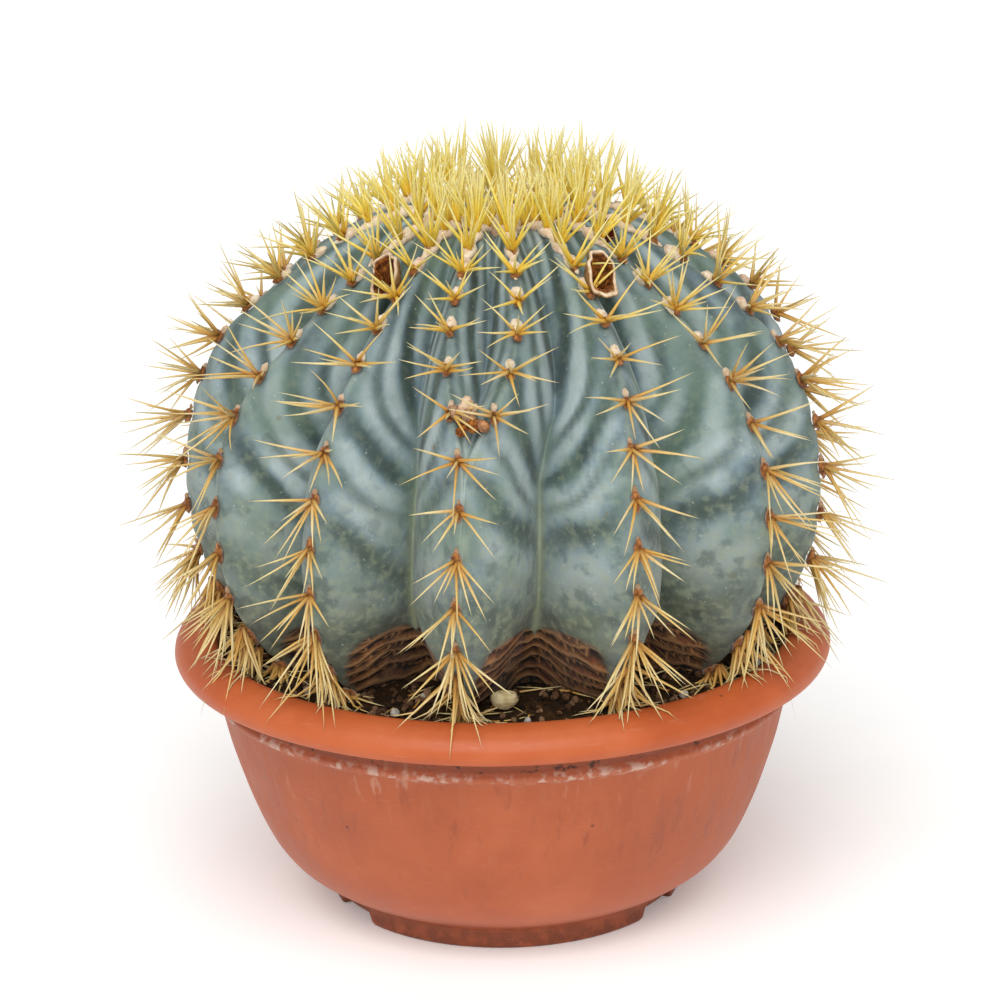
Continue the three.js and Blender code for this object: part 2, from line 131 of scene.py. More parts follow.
# ---- Bowl and soil ----
FOOT_GAPS = (-60, 60, 180)
FOOT_GAP_LENGTH = 27
FOOT_RADIUS, FLOOR_UNDERSIDE, FLOOR_TOP = 80.7, 6, 9
DRAIN_HOLES, DRAIN_RADIUS, DRAIN_CIRCLE = 5, 5, 46
SOIL_EDGE, SOIL_MOUND, SOIL_HEAP, SOIL_HEAP_AZIMUTH = 120.5, 5.5, 3, -105
# The bowl's radius and height, from the foot ring up the outside, over the rim and down inside.
BOWL_OUTLINE = np.array([
    [73.5, FLOOR_UNDERSIDE], [75, 0], [FOOT_RADIUS, 0], [80.2, 9], [85, 12.2], [93, 16.5],
    [101.5, 23], [108, 31.5], [113, 41.5], [118, 54], [122.3, 67], [126, 79], [129, 92],
    [131, 100], [134, 101.2], [134.4, 103.4], [132.8, 105.5], [133.8, 112.5], [145, 113.6],
    [148.6, 115.4], [RIM_WIDTH / 2, 118.6], [149.4, 122], [146.8, 125.6], [142, 128.6],
    [136.5, 129.8], [132.8, 128.9], [130.2, 125.5],
    [129, 119], [127.6, 100], [125.6, 90], [122.4, 77.5], [114.6, 52], [109.4, 40], [104.4, 32],
    [98, 24.6], [89, 18], [78, 12.2], [70, FLOOR_TOP],
])
# The point of the outline where the inside of the wall starts, below the rim.
INSIDE_START = 28
# The rim's top as radius and height, with a steep side towards the soil and one outwards.
RIM_TOP = np.array([
    [126, 0], [129, 125.5], [132.8, 128.9], [136.5, 129.8], [142, 128.6], [146.8, 125.6],
    [150, 118.6], [153, 0],
])
# The gap between the soil and the bowl.
SOIL_GAP = 0.55


# ---------------------------------------------------------------- numbers

def smoothstep(x, low, high):
    """0 below low, 1 above high, and 3t^2 - 2t^3 of the way t between."""
    t = np.clip((x - low) / (high - low), 0, 1)
    return t * t * (3 - 2 * t)


def lerp(one, two, share):
    """one at share 0 and two at share 1, in a straight line."""
    return one + (two - one) * share


def blunt(share, soft):
    """A share from 0 to 1 whose start is rounded: a hyperbola in place of a straight line."""
    return (np.sqrt(share ** 2 + soft ** 2) - soft) / (np.sqrt(1 + soft ** 2) - soft)


def scatter(first, second):
    """A repeatable number from 0 to 1: the fraction of a large sine of both counts."""
    value = np.sin(first * 12.9898 + second * 78.233) * 43758.5453
    return value - np.floor(value)


def noise(points, size, seed=0):
    """Smooth noise from -1 to 1: a random number at each corner of a cubic lattice of this
    size, blended across each cell by smoothstep weights."""
    where = points / size
    cell = np.floor(where).astype(np.int64)
    share = where - cell
    share = share * share * (3 - 2 * share)
    total = np.zeros(points.shape[:-1])
    for corner in itertools.product((0, 1), repeat=3):
        x, y, z = np.moveaxis(cell + np.array(corner), -1, 0)
        mixed = (x * 73856093) ^ (y * 19349663) ^ (z * 83492791) ^ (seed * 26544357)
        mixed = (mixed ^ (mixed >> 13)) * 1274126177
        value = ((mixed ^ (mixed >> 16)) & 0xFFFF) / 0xFFFF
        weight = np.where(np.array(corner), share, 1 - share).prod(-1)
        total += value * weight
    return 2 * total - 1


def unit(vectors):
    """Each vector divided by its length."""
    return vectors / np.maximum(np.linalg.norm(vectors, axis=-1, keepdims=True), 1e-9)


def rounded(outline, times=2, cut=0.22):
    """An open outline with its corners cut: each side is kept between the share cut from its
    start and the share cut from its end, and the first and last points stay."""
    points = np.asarray(outline, float)
    for _ in range(times):
        start, end = points[:-1], points[1:]
        inner = np.stack([lerp(start, end, cut), lerp(start, end, 1 - cut)], 1).reshape(-1, 2)
        points = np.vstack([points[:1], inner, points[-1:]])
    return points


# ---------------------------------------------------------------- meshes

def shell_faces(rows, columns):
    """Quads and triangles of one closed skin whose points are a pole, rows of rings and a
    second pole. They face out where the rings run counter-clockwise seen from the first pole."""
    row, column = np.meshgrid(np.arange(rows - 1), np.arange(columns), indexing="ij")
    around = np.arange(columns)
    last = 1 + rows * columns

    def at(r, c):
        return 1 + r * columns + c % columns

    corners = [at(row, column), at(row + 1, column), at(row + 1, column + 1), at(row, column + 1)]
    quads = np.stack(corners, -1).reshape(-1, 4)
    first_fan = np.stack([0 * around, at(0, around), at(0, around + 1)], -1)
    last_fan = np.stack([0 * around + last, at(rows - 1, around + 1), at(rows - 1, around)], -1)
    return quads, np.vstack([first_fan, last_fan])


def skin(first_pole, rings, last_pole):
    """Joins poles (count, 3) and rings (count, rows, columns, 3) into points and faces of as
    many closed skins as count says."""
    count, rows, columns, _ = rings.shape
    poles = [np.broadcast_to(p, (count, 3))[:, None] for p in (first_pole, last_pole)]
    points = np.concatenate([poles[0], rings.reshape(count, -1, 3), poles[1]], 1)
    size = points.shape[1]
    shift = size * np.arange(count)[:, None, None]
    quads, triangles = (f[None] + shift for f in shell_faces(rows, columns))
    return points.reshape(-1, 3), quads.reshape(-1, 4), triangles.reshape(-1, 3)


def over_skin(first, rings, last):
    """The value of each point of a skin, from one value for each pole and (count, rows) or
    (count, rows, columns) values for the rings."""
    count = rings.shape[0]
    ends = [np.broadcast_to(np.asarray(p, float), (count,))[:, None] for p in (first, last)]
    return np.concatenate([ends[0], rings.reshape(count, -1), ends[1]], 1).ravel()


def joined(*skins):
    """Several (points, quads, triangles) as one."""
    points, quads, triangles, start = [], [], [], 0
    for p, q, t in skins:
        points.append(p)
        quads.append(q + start)
        triangles.append(t + start)
        start += len(p)
    return np.vstack(points), np.vstack(quads), np.vstack(triangles)


def new_piece(name, shape, material, slot, replaced, smooth=True, **values):
    """A mesh piece from (points, quads, triangles) in millimetres. values are numbers for each
    point that its material reads. It rides on the root body and stands for the nodes replaced."""
    points, quads, triangles = shape
    mesh = bpy.data.meshes.new(name)
    mesh.vertices.add(len(points))
    mesh.vertices.foreach_set("co", (points * MM).astype(np.float32).ravel())
    corners = np.concatenate([quads.ravel(), triangles.ravel()]).astype(np.int32)
    starts = np.concatenate([4 * np.arange(len(quads)), quads.size + 3 * np.arange(len(triangles))])
    mesh.loops.add(len(corners))
    mesh.loops.foreach_set("vertex_index", corners)
    mesh.polygons.add(len(starts))
    mesh.polygons.foreach_set("loop_start", starts.astype(np.int32))
    mesh.polygons.foreach_set("use_smooth", np.full(len(starts), smooth))
    mesh.update(calc_edges=True)
    for key, numbers in values.items():
        layer = mesh.attributes.new(key, "FLOAT", "POINT")
        layer.data.foreach_set("value", np.asarray(numbers, np.float32).ravel())
    mesh.materials.append(material)
    piece = bpy.data.objects.new(name, mesh)
    bpy.context.scene.collection.objects.link(piece)
    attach(piece, "root")
    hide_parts(*replaced)
    return piece


def lumps(centre, axes, rough, seed, rows=4, columns=8):
    """Closed lumps: unit spheres of latitude rings, each stretched by three axes (count, 3, 3)
    and swollen at each point by a random share up to rough."""
    draw = np.random.default_rng(seed)
    polar = np.pi * (np.arange(rows) + 1) / (rows + 1)
    turn = 2 * np.pi * np.arange(columns) / columns
    ball = np.stack([
        np.sin(polar)[:, None] * np.cos(turn), np.sin(polar)[:, None] * np.sin(turn),
        np.repeat(np.cos(polar)[:, None], columns, 1),
    ], -1)
    count = len(centre)
    swell = 1 + rough * (2 * draw.random((count, rows, columns, 1)) - 1)
    rings = centre[:, None, None] + np.einsum("nrck,nkd->nrcd", ball * swell, axes)
    return skin(centre + axes[:, 2], rings, centre - axes[:, 2])


def spikes(base, direction, bend, length, radius, ground=None):
    """Tapered, curved spines. A point t of the way along is base + length (t direction +
    t^2 bend), and the radius falls as (1 - t)^0.75 from a swollen foot. Where ground is given,
    it gives the lowest height at (x, y) that the line may have."""
    station = np.append(SPINE_STATIONS, 1)
    reach = length[:, None, None]
    line = base[:, None] + reach * (direction[:, None] * station[:, None]
                                    + bend[:, None] * station[:, None] ** 2)
    if ground is not None:
        line[..., 2] = np.maximum(line[..., 2], ground(line[..., 0], line[..., 1]))
    oblique = np.array([0.31, 0.52, 0.8])
    side = unit(np.cross(direction, oblique))
    other = np.cross(direction, side)
    turn = 2 * np.pi * np.arange(SPINE_SIDES) / SPINE_SIDES
    ring = side[:, None] * np.cos(turn)[:, None] - other[:, None] * np.sin(turn)[:, None]
    girth = (1 + 0.5 * np.exp(-SPINE_STATIONS / 0.05)) * (1 - SPINE_STATIONS) ** 0.75
    spread = radius[:, None, None, None] * girth[:, None, None] * ring[:, None]
    return skin(line[:, 0], line[:, :-1, None] + spread, line[:, -1])


def along_spikes(count):
    """How far along its spine each point of spikes lies."""
    rings = np.broadcast_to(SPINE_STATIONS[None, :, None], (count, len(SPINE_STATIONS), SPINE_SIDES))
    return over_skin(0, rings, 1)


def each_spike(numbers):
    """One number for each spine, given to all of its points."""
    return np.repeat(numbers, 2 + len(SPINE_STATIONS) * SPINE_SIDES)


# ---------------------------------------------------------------- the stem's form

def outline_at(level):
    """Radius, height and furrow depth at a level: a Catmull-Rom curve through STEM_OUTLINE,
    its end points mirrored, with level 0 at the crown's middle and 1 at the buried tip."""
    outline = STEM_OUTLINE + [0, STEM_FOOT, 0]
    points = np.vstack([2 * outline[0] - outline[1], outline, 2 * outline[-1] - outline[-2]])
    place = np.clip(level, 0, 1) * (len(outline) - 1)
    start = np.minimum(place.astype(int), len(outline) - 2)
    t = (place - start)[..., None]
    a, b, c, d = (points[start + k] for k in range(4))
    return 0.5 * (2 * b + (c - a) * t + (2 * a - 5 * b + 4 * c - d) * t ** 2
                  + (3 * b - a - 3 * c + d) * t ** 3)


def crest_at(level):
    """Radius, height, furrow depth, and the two parts of the outward normal, which is the
    outline's direction turned by a right angle."""
    level = np.asarray(level, float)
    here = outline_at(level)
    run = outline_at(np.minimum(level + 1e-4, 1)) - outline_at(np.maximum(level - 1e-4, 0))
    length = np.hypot(run[..., 0], run[..., 1])
    return here[..., 0], here[..., 1], here[..., 2], -run[..., 1] / length, run[..., 0] / length


LEVELS = np.linspace(0, 1, 1201)
CREST_LENGTH = np.concatenate([
    [0], np.cumsum(np.hypot(*np.diff(outline_at(LEVELS)[:, :2], axis=0).T)),
])


def level_at(distance):
    """The level that lies this far down the crest from the crown's middle."""
    return np.interp(distance, CREST_LENGTH, LEVELS)


def rib_azimuth(rib, level):
    """A rib's azimuth: from the fork to the crown it turns as a quarter sine, and from the
    fork to the base in a straight line."""
    crown, fork, base = np.moveaxis(RIBS[rib], -1, 0)
    rise = np.clip((FORK_LEVEL - level) / (FORK_LEVEL - CROWN_LEVEL), 0, 1)
    upper = lerp(fork, crown, np.sin(rise * np.pi / 2))
    lower = lerp(fork, base, (level - FORK_LEVEL) / (1 - FORK_LEVEL))
    return np.where(level < FORK_LEVEL, upper, lower)


def stem_point(level, azimuth, sink):
    """The crest's surface turned to an azimuth, then moved in along its normal by sink."""
    radius, height, _, side, rise = crest_at(level)
    turn = np.radians(azimuth)
    reach = np.maximum(0, radius - sink * side)
    parts = np.broadcast_arrays(
        STEM_AXIS_X + reach * np.sin(turn), -reach * np.cos(turn), height - sink * rise)
    return np.stack(parts, -1)


def crest_frame(level, azimuth):
    """Unit directions across the crest to the right, up it to the crown, and out of it."""
    _, _, _, side, rise = crest_at(level)
    turn = np.radians(azimuth)
    s, c = np.sin(turn), np.cos(turn)
    across = np.stack(np.broadcast_arrays(c, s, 0.0 * side), -1)
    up = np.stack([-rise * s, rise * c, side + 0 * s], -1)
    out = np.stack([side * s, -side * c, rise + 0 * s], -1)
    return across, up, out


def areole_distance(rib, number):
    """How far down its crest an areole lies: equal steps, drawn together near the crown by an
    exponential, and shifted a little from rib to rib."""
    number = np.asarray(number, float)
    shift = (5 * scatter(rib, 7) - 2.5) * np.clip(number / 3, 0, 1)
    return (FIRST_AREOLE + AREOLE_PITCH * number
            - CROWDING * (1 - np.exp(-number / CROWDING_RANGE)) + shift)


def areole_count(rib, distance):
    """The areole number, with its fraction, at a distance: areole_distance turned round."""
    number = np.linspace(-2, 18, 401)
    plain = FIRST_AREOLE + AREOLE_PITCH * number - CROWDING * (1 - np.exp(-number / CROWDING_RANGE))
    shift = (5 * scatter(rib, 7) - 2.5) * smoothstep(distance, 60, 110)
    found = np.interp(distance - shift, plain, number)
    return found - np.maximum(0, plain[0] - distance) / 8


def fold_turns(count):
    """How many folds have started from a crest by an areole count: few near the crown, where
    folds run along the furrow, and one at each areole lower down."""
    number = np.linspace(-8, 18, 521)
    pace = lerp(0.28, 0.85, smoothstep(number, 3.5, 8))
    return np.interp(count, number, np.cumsum(pace) * (number[1] - number[0]))


def skin_rows():
    """How far down the crest each row of the skin lies: SKIN_STRETCHES, each in equal steps."""
    ends = [end for end, _ in SKIN_STRETCHES[:-1]]
    rows = np.cumsum([0] + [rows for _, rows in SKIN_STRETCHES])
    return np.interp(np.arange(rows[-1] + 1), rows, [2.5, *ends, CREST_LENGTH[-1] - 1.5])


def furrow_share(distance, middle):
    """The furrow's depth across a gap, 0 at the crests and 1 half-way: a straight line blunted at
    both ends, blended with its square, or with its cube where the ribs are plumper."""
    edge = blunt(middle, 0.035)
    edge = 1 - blunt(1 - edge, 0.01 + 0.3 * smoothstep(distance, 250, 285))
    plump = 0.35 * smoothstep(distance, 130, 230) * (1 - smoothstep(distance, 250, 290))
    return lerp(0.62 * edge + 0.38 * edge ** 2, 0.36 * edge + 0.64 * edge ** 3, plump)


def fold_waves(distance, middle, phase_shift, count, flat):
    """Folds that run down from the areoles to the furrow, as waves of the folds started so far
    less a share of the way across. The fine ones are the root of a squared sine plus a little,
    and the broad ones are a squared sine of about half as many turns."""
    sweep = lerp(2.2, 1.45, smoothstep(distance, 110, 230))
    phase = fold_turns(count) - sweep * middle + phase_shift
    fine = np.sqrt(np.sin(np.pi * phase) ** 2 + 0.05)
    broad = np.sin(np.pi * (0.47 * phase + 0.2 + 0.2 * noise(flat, 40, 5))) ** 2
    return fine, broad


def cork_layers(distance, middle, gap_number, flat, slow):
    """The share of cork, the place in its layer from 0 to 1, and the line that it starts from.
    The line arches up from each crest and dips at the furrow, and the layers are equal steps
    of height, bent by noise."""
    arch = CORK_RISE * (1 - (1 - middle) ** 6) - CORK_DIP * middle ** 3
    line = CORK_AT_CREST - arch * CORK_SHARES[gap_number] + 2.5 * slow
    cork = smoothstep(distance, line - 2.5, line + 4) * smoothstep(distance, 150, 200)
    below = (1.6 * middle ** 0.7 - flat[..., 2] / CORK_LAYER + 0.6 * noise(flat, 13, 8)
             + 0.25 * noise(flat, 5, 9))
    return cork, below - np.floor(below), line


def stem_skin(material):
    """The ribbed skin. From the crest's surface each point sinks by the furrow's depth and by a
    notch at each areole, a squared cosine of the areole count, and rises by the folds and by
    grain, which is noise. The cork lies deeper by a constant, less a squared sine across each
    layer, which leaves ledges."""
    distance = skin_rows()[:, None, None]
    level = level_at(distance)
    gap_number = np.arange(RIB_COUNT)[None, :, None]
    step = (np.arange(SKIN_COLUMNS) / SKIN_COLUMNS)[None, None, :]
    # The columns stand closer at the crests and in the furrow, where the skin bends most.
    across = step - 0.4 * np.sin(4 * np.pi * step) / (4 * np.pi)
    start = rib_azimuth(gap_number, level)
    gap = (rib_azimuth((gap_number + 1) % RIB_COUNT, level) - start + 360) % 360
    azimuth = start + gap * across
    share = smoothstep(gap, MERGED_GAP, FULL_GAP)
    # 0 at the crests and 1 half-way between them, and the number of the nearer crest.
    middle = 1 - np.abs(2 * across - 1) + 0 * gap
    near = np.where(across < 0.5, gap_number, (gap_number + 1) % RIB_COUNT) + 0 * level.astype(int)

    depth = crest_at(level)[2] * share * furrow_share(distance, middle)
    flat = stem_point(level, azimuth, depth)
    slow = noise(flat, 26, 3)
    count = areole_count(near, distance + 0 * near)
    fine, broad = fold_waves(
        distance, middle, 0.35 * slow + 0.8 * scatter(near, gap_number + 3), count, flat)
    rolls = (broad + 0.03) ** 0.42
    fine_size = lerp(*FINE_FOLDS, smoothstep(distance, 120, 225)) * smoothstep(distance, 34, 66)
    broad_size = lerp(*BROAD_FOLDS, smoothstep(distance, 120, 220))
    # The folds fade at the crests, in the furrow's bottom, and towards the foot.
    window = (1 - (1 - middle) ** 3) * (1 - middle ** 7)
    settle = 1 - smoothstep(distance, 262, 300)
    folds = window * share * settle * (fine_size * (fine - 0.6) + broad_size * (rolls - 0.6))
    dips = (0.5 + 0.5 * np.cos(2 * np.pi * count)) ** 2
    notch = NOTCH_DEPTH * np.exp(-(middle / 0.13) ** 2) * dips * smoothstep(distance, 60, 90)

    cork, layer, line = cork_layers(distance, middle, gap_number, flat, slow)
    ledges = cork * (LEDGE_HEIGHT * np.sin(np.pi * layer) ** 2 - CORK_DEPTH)
    grain = 0.45 * slow + 0.16 * noise(flat, 5, 6) + 0.35 * cork * noise(flat, 4, 9)
    rings = stem_point(level, azimuth, depth - folds - ledges - grain + notch)

    # For the material: painted light and shade on the folds, and painted shade in the dark lines
    # between them and above the cork.
    fine_light = 0.75 * (fine - 0.6) * smoothstep(-distance, -235, -130)
    light = np.clip(0.5 + window * settle * (fine_light + 0.8 * (rolls - 0.6)), 0, 1)
    # The dark lines: painted shade in the creases between the folds.
    fine_lines = (1 - smoothstep(fine, 0.2, 0.9)) * smoothstep(-distance, -250, -170)
    lines = np.clip(fine_lines + 0.6 * np.exp(-broad / 0.16), 0, 1)
    # Painted shade: a strip of skin just above the cork line is darkened.
    shade_above_cork = 0.9 * share * smoothstep(distance, line - SHADE_ABOVE_CORK_REACH[gap_number], line - 2) * window
    crease = np.maximum(window * share * settle * lines, shade_above_cork * (0.8 + 0.25 * noise(flat, 9, 14)))
    poles = stem_point(np.array([0.0, 1.0]), np.array([0.0, 0.0]), 0)
    shape = skin(poles[:1], rings.reshape(1, len(distance), -1, 3), poles[1:])

    def spread(numbers, first, last):
        return over_skin(first, (numbers + 0 * middle).reshape(1, len(distance), -1), last)

    return new_piece(
        "cactus_skin", shape, material, "stem_skin", ["cactus_stem"],
        bloom=spread(light, 0.5, 0), valley=spread(middle * share, 0, 0),
        cork=spread(cork, 0, 1), layer=spread(layer, 0, 0), crease=spread(crease, 0, 0),
        age=spread(distance / CREST_LENGTH[-1], 0, 1),
    )


# ---------------------------------------------------------------- soil and rim heights

def soil_lift(x, y):
    """The soil's rise above its edge: a mound round the stem, a heap on one side, and lumps
    as a product of two waves."""
    radius = np.hypot(x, y)
    mound = SOIL_MOUND * (1 - smoothstep(radius, 98, 128))
    bearing = np.arctan2(x, -y) - math.radians(SOIL_HEAP_AZIMUTH)
    heap = SOIL_HEAP * np.maximum(0, np.cos(bearing)) ** 2 * smoothstep(radius, 90, 120)
    return mound + heap + 0.7 * np.sin(x / 6.5) * np.cos(y / 7.5)


def ground(x, y, clear=1.3):
    """The height to keep above: the soil inside the rim, then the rim's rounded top."""
    radius = np.hypot(x, y)
    rim = np.interp(radius, *RIM_TOP.T)
    soil = np.where(radius < RIM_TOP[1, 0], SOIL_EDGE + soil_lift(x, y), 0)
    return np.maximum(rim, soil) + clear


# ---------------------------------------------------------------- spines

def spine_directions(across, up, out, tilt, turn):
    """Unit directions tilted from out by one angle, towards the turn from up to across."""
    tilt, turn = np.radians(tilt)[..., None], np.radians(turn)[..., None]
    return (np.cos(tilt) * out
            + np.sin(tilt) * (np.cos(turn) * up + np.sin(turn) * across))


def spine_piece(name, parts, material, replaced):
    """One piece from (base, direction, bend, length, radius, age) arrays of spines."""
    base, direction, bend, length, radius, age = (np.concatenate(p) for p in zip(*parts))
    draw = np.random.default_rng(len(base))
    shape = spikes(base, direction, bend, length, radius, ground)
    return new_piece(
        name, shape, material, "spine_horn", replaced,
        along=along_spikes(len(base)), age=each_spike(age), pick=each_spike(draw.random(len(base))),
    )


def cluster(rib, distance, number, turns, tilts, lengths, draw, chance=1.0):
    """The spines of areoles: each (areole, spine) has a turn, a tilt and a length, with a
    little of all three drawn at random, and a chance that it is there. A spine leans out of
    the crest by its tilt, bends by a random vector and a little down, and starts on a lump."""
    level = level_at(distance)[:, None]
    azimuth = rib_azimuth(rib, level)
    across, up, out = crest_frame(level, azimuth)
    shape = (len(distance), turns.shape[-1])
    turn = turns + draw.normal(0, TURN_STRAY, shape)
    tilt = tilts + draw.normal(0, TILT_STRAY, shape)
    direction = spine_directions(across, up, out, tilt, turn)
    foot = stem_point(level, azimuth, -1.6)
    base = foot + 1.1 * (direction - out * np.sum(direction * out, -1, keepdims=True))
    base = base + draw.normal(0, 0.35, shape + (3,))
    bend = 0.07 * out * draw.uniform(-1, 1.4, shape)[..., None]
    bend = bend + 0.05 * draw.normal(0, 1, shape + (3,)) + np.array([0, 0, -0.03])
    length = lengths * draw.uniform(SHORTEST, LONGEST, shape)
    radius = lerp(YOUNG_RADIUS, SPINE_RADIUS, smoothstep(number, 0, 3))[:, None]
    radius = radius * draw.uniform(0.8, 1.15, shape)
    age = np.broadcast_to(np.clip((number[:, None] + 4) / (AREOLES + 4), 0, 1), shape)
    kept = draw.random(shape) < SPINE_CHANCE * chance
    return tuple(a[kept] for a in (base, direction, bend, length, radius, age))


def crown_clusters(rib, draw):
    """Young spines at the crown: each areole has a bundle that stands along the crest's normal
    and opens by up to some twenty degrees."""
    distance = np.array(CROWN_AREOLES) + draw.normal(0, 0.8, len(CROWN_AREOLES))
    number = np.linspace(-4, -1.5, len(distance))
    count = 9
    turns = draw.uniform(-180, 180, (len(distance), count))
    tilts = draw.uniform(2, 21, (len(distance), count))
    lengths = np.linspace(25, 31, len(distance))[:, None] + 0 * turns
    return cluster(rib, distance, number, turns, tilts, lengths, draw)


def crest_clusters(rib, draw):
    """The spines along a crest. The first few areoles keep theirs nearly upright, the next ones
    spread them flat to both sides, and lower down they turn towards the soil by a growing share
    of the way. The spare spines are rarer lower down, and above all at the front."""
    number = np.arange(AREOLES_ON_ARM if rib == ARM else AREOLES)
    distance = areole_distance(rib, number)
    spread = lerp(0.34, 1, smoothstep(number, -0.3, 3.6))[:, None]
    droop = 0.46 * smoothstep(number, 2.5, 10)[:, None]
    turns = np.sign(SPINE_TURNS) * lerp(np.abs(SPINE_TURNS), 180, droop)
    tilts = SPINE_TILTS * spread + 0 * turns
    short = FORK_SPINES if rib in (ARM - 1, ARM) else HIGH_SPINES
    low = LOW_SPINES * (FRONT_SHARE if rib in FRONT_RIBS else 1)
    grown = lerp(short, low, smoothstep(number, 4, 8))
    lengths = lerp(EDGE_SPINES, grown, smoothstep(number, 0, 2))
    lengths = lengths[:, None] + 4 * droop + 0 * turns
    lengths[:, CENTRAL] *= CENTRAL_SHARE
    spare = np.arange(turns.shape[1]) >= USUAL
    few = lerp(0.9, 0.1, smoothstep(number, 0.5, 3))
    many = lerp(1, 0.5, smoothstep(number, 4, 9))
    chance = np.where(spare, (few if rib in FRONT_RIBS else many)[:, None], 1)
    chance[:, HANGING] = lerp(0.2, 0.9, smoothstep(number, 4, 8))
    return [cluster(rib, distance, number, turns, tilts, lengths, draw, chance)]


def base_fan(rib, draw):
    """The long old spines that hang from a crest's foot over the soil and the rim, opening as
    a fan to both sides."""
    if rib == ARM:
        return []
    distance = np.array([250, 264, 277, 289])
    count = THICKET if rib in THICKET_RIBS else 6
    turns = 180 + np.linspace(-60, 60, count) + draw.normal(0, 8, (len(distance), count))
    tilts = draw.uniform(28, 66, (len(distance), count)) * np.array([1.05, 1, 0.85, 0.7])[:, None]
    lengths = draw.uniform(29, 40, (len(distance), count))
    number = np.array([11, 12, 13, 14])
    return [cluster(rib, distance, number, turns, tilts, lengths, draw)]


def row_node(rib):
    """The name of the frame's node that holds a rib's spines."""
    return f"spine_row_{rib + 1:02d}"


def spine_rows(material):
    """One piece of spines for each rib, and one for the whole crown."""
    for rib in range(RIB_COUNT):
        draw = np.random.default_rng(100 + rib)
        parts = [*crest_clusters(rib, draw), *base_fan(rib, draw)]
        spine_piece(f"spines_{rib + 1:02d}", parts, material, [row_node(rib)])
    draw = np.random.default_rng(77)
    young = [crown_clusters(rib, draw) for rib in range(RIB_COUNT)]
    spine_piece("crown_spines", young, material, ["crown_wool"])


# ---------------------------------------------------------------- felt

def areole_felt(material):
    """On each areole a lump of cream felt towards the crown, and below it the brown knot from
    which the spines grow. Both are lumps stretched along the crest."""
    rib = np.repeat(np.arange(RIB_COUNT), AREOLES)
    number = np.tile(np.arange(AREOLES), RIB_COUNT)
    there = (rib != ARM) | (number < AREOLES_ON_ARM)
    rib, number = rib[there], number[there]
    distance = areole_distance(rib, number)
    level = level_at(distance)
    azimuth = rib_azimuth(rib, level)
    across, up, out = crest_frame(level, azimuth)
    foot = stem_point(level, azimuth, 0)
    draw = np.random.default_rng(5)
    rows, columns = 5, 9
    fresh = 1.05 - 0.68 * smoothstep(number, 3, 8)[:, None]
    fresh = fresh * draw.uniform(0.75, 1.2, (len(rib), 1))
    felt_axes = np.stack([2.7 * fresh * across, 4.3 * fresh * up, 2.5 * fresh * out], 1)
    felt = lumps(foot + 0.3 * out + 3.6 * up, felt_axes, 0.2, 21, rows, columns)
    long = lerp(3.0, 4.6, smoothstep(number, 4, 9))[:, None] * draw.uniform(0.8, 1.2, (len(rib), 1))
    knot_axes = np.stack([2.2 * across, long * up, 1.7 * out], 1)
    knot = lumps(foot + 0.6 * out - 0.6 * up, knot_axes, 0.26, 22, rows, columns)
    size = 2 + rows * columns
    tone = np.repeat([0.0, 1.0], size * len(rib))
    age = np.tile(np.repeat(number / AREOLES, size), 2)
    nodes = [row_node(i) for i in range(RIB_COUNT)]
    return new_piece("areole_felt", joined(felt, knot), material, "crown_felt", nodes,
                     tone=tone, age=age)


def crown_cushion():
    """The cushion in the crown's dip: rings whose height over the dip falls with the square of
    the radius, as a dome, with two sizes of noise on top."""
    low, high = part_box("crown_wool")
    radius = (high.x - low.x) / MM / 2 * 0.72
    share = np.linspace(0.06, 1, 22)[:, None]
    turn = np.radians(np.arange(0, 360, 5))[None]
    x, y = radius * share * np.sin(turn), -radius * share * np.cos(turn)
    rest = np.interp(radius * share, *crest_at(LEVELS[:300])[:2])
    dome = rest + 5.5 * (1 - share ** 2) ** 0.6 - 1.2 * share ** 4
    flat = np.stack([x + STEM_AXIS_X, y, 0 * x], -1)
    top = dome + 1.1 * noise(flat, 3.2, 4) + 0.8 * noise(flat, 7, 5)
    upper = np.stack([x + STEM_AXIS_X, y, top], -1)
    under = upper[-1:] * [1, 1, 0] + [0, 0, rest[-1, 0] - 3]
    summit = np.array([[STEM_AXIS_X, 0, dome[0, 0] + 0.4]])
    return skin(summit, np.concatenate([upper, under])[None], summit - [0, 0, 9])


def crest_bands():
    """A band of felt down the start of each crest: an oval carried along the crest, thin at both
    ends by a root of a sine, and thicker at each areole by a cosine of the areole count."""
    distance = np.linspace(16, 78, 40)[None]
    rib = np.arange(RIB_COUNT)[:, None]
    level = level_at(distance)
    azimuth = rib_azimuth(rib, level)
    across, _, out = crest_frame(level, azimuth)
    centre = stem_point(level, azimuth, -0.3)
    turn = 2 * np.pi * np.arange(12) / 12
    taper = np.sin(np.pi * np.clip((distance - 15) / 64, 0, 1)) ** 0.45
    knots = 0.82 + 0.34 * np.cos(2 * np.pi * areole_count(rib, distance + 0 * rib))
    width = (3.1 * taper * knots)[..., None, None]
    thick = (2.3 * taper * knots)[..., None, None]
    ring = (centre[:, :, None] + width * np.cos(turn)[:, None] * across[:, :, None]
            - thick * np.sin(turn)[:, None] * out[:, :, None])
    ring = ring + 0.35 * noise(ring, 2.2, 6)[..., None] * out[:, :, None]
    return skin(centre[:, 0], ring, centre[:, -1])


def crown_felt(material):
    """The felt of the crown: the cushion and the bands, all fresh."""
    shape = joined(crown_cushion(), crest_bands())
    fresh = np.zeros(len(shape[0]))
    return new_piece("crown_felt", shape, material, "crown_felt", ["crown_wool"],
                     tone=fresh, age=fresh)


# ---------------------------------------------------------------- dried fruits

# A pod's radius and height, from its foot up the outside, over the lip and down to its floor.
POD_OUTLINE = np.array([
    [1.6, 0.4], [4, 4], [5, 9], [4.9, 12], [4.4, 13.2], [3.7, 12.8], [3.6, 9], [2.8, 5.5], [1, 4.6],
])
# The height, in the outline's own units, of the pod's inner floor, where the fibres stand.
POD_FLOOR = 4.6


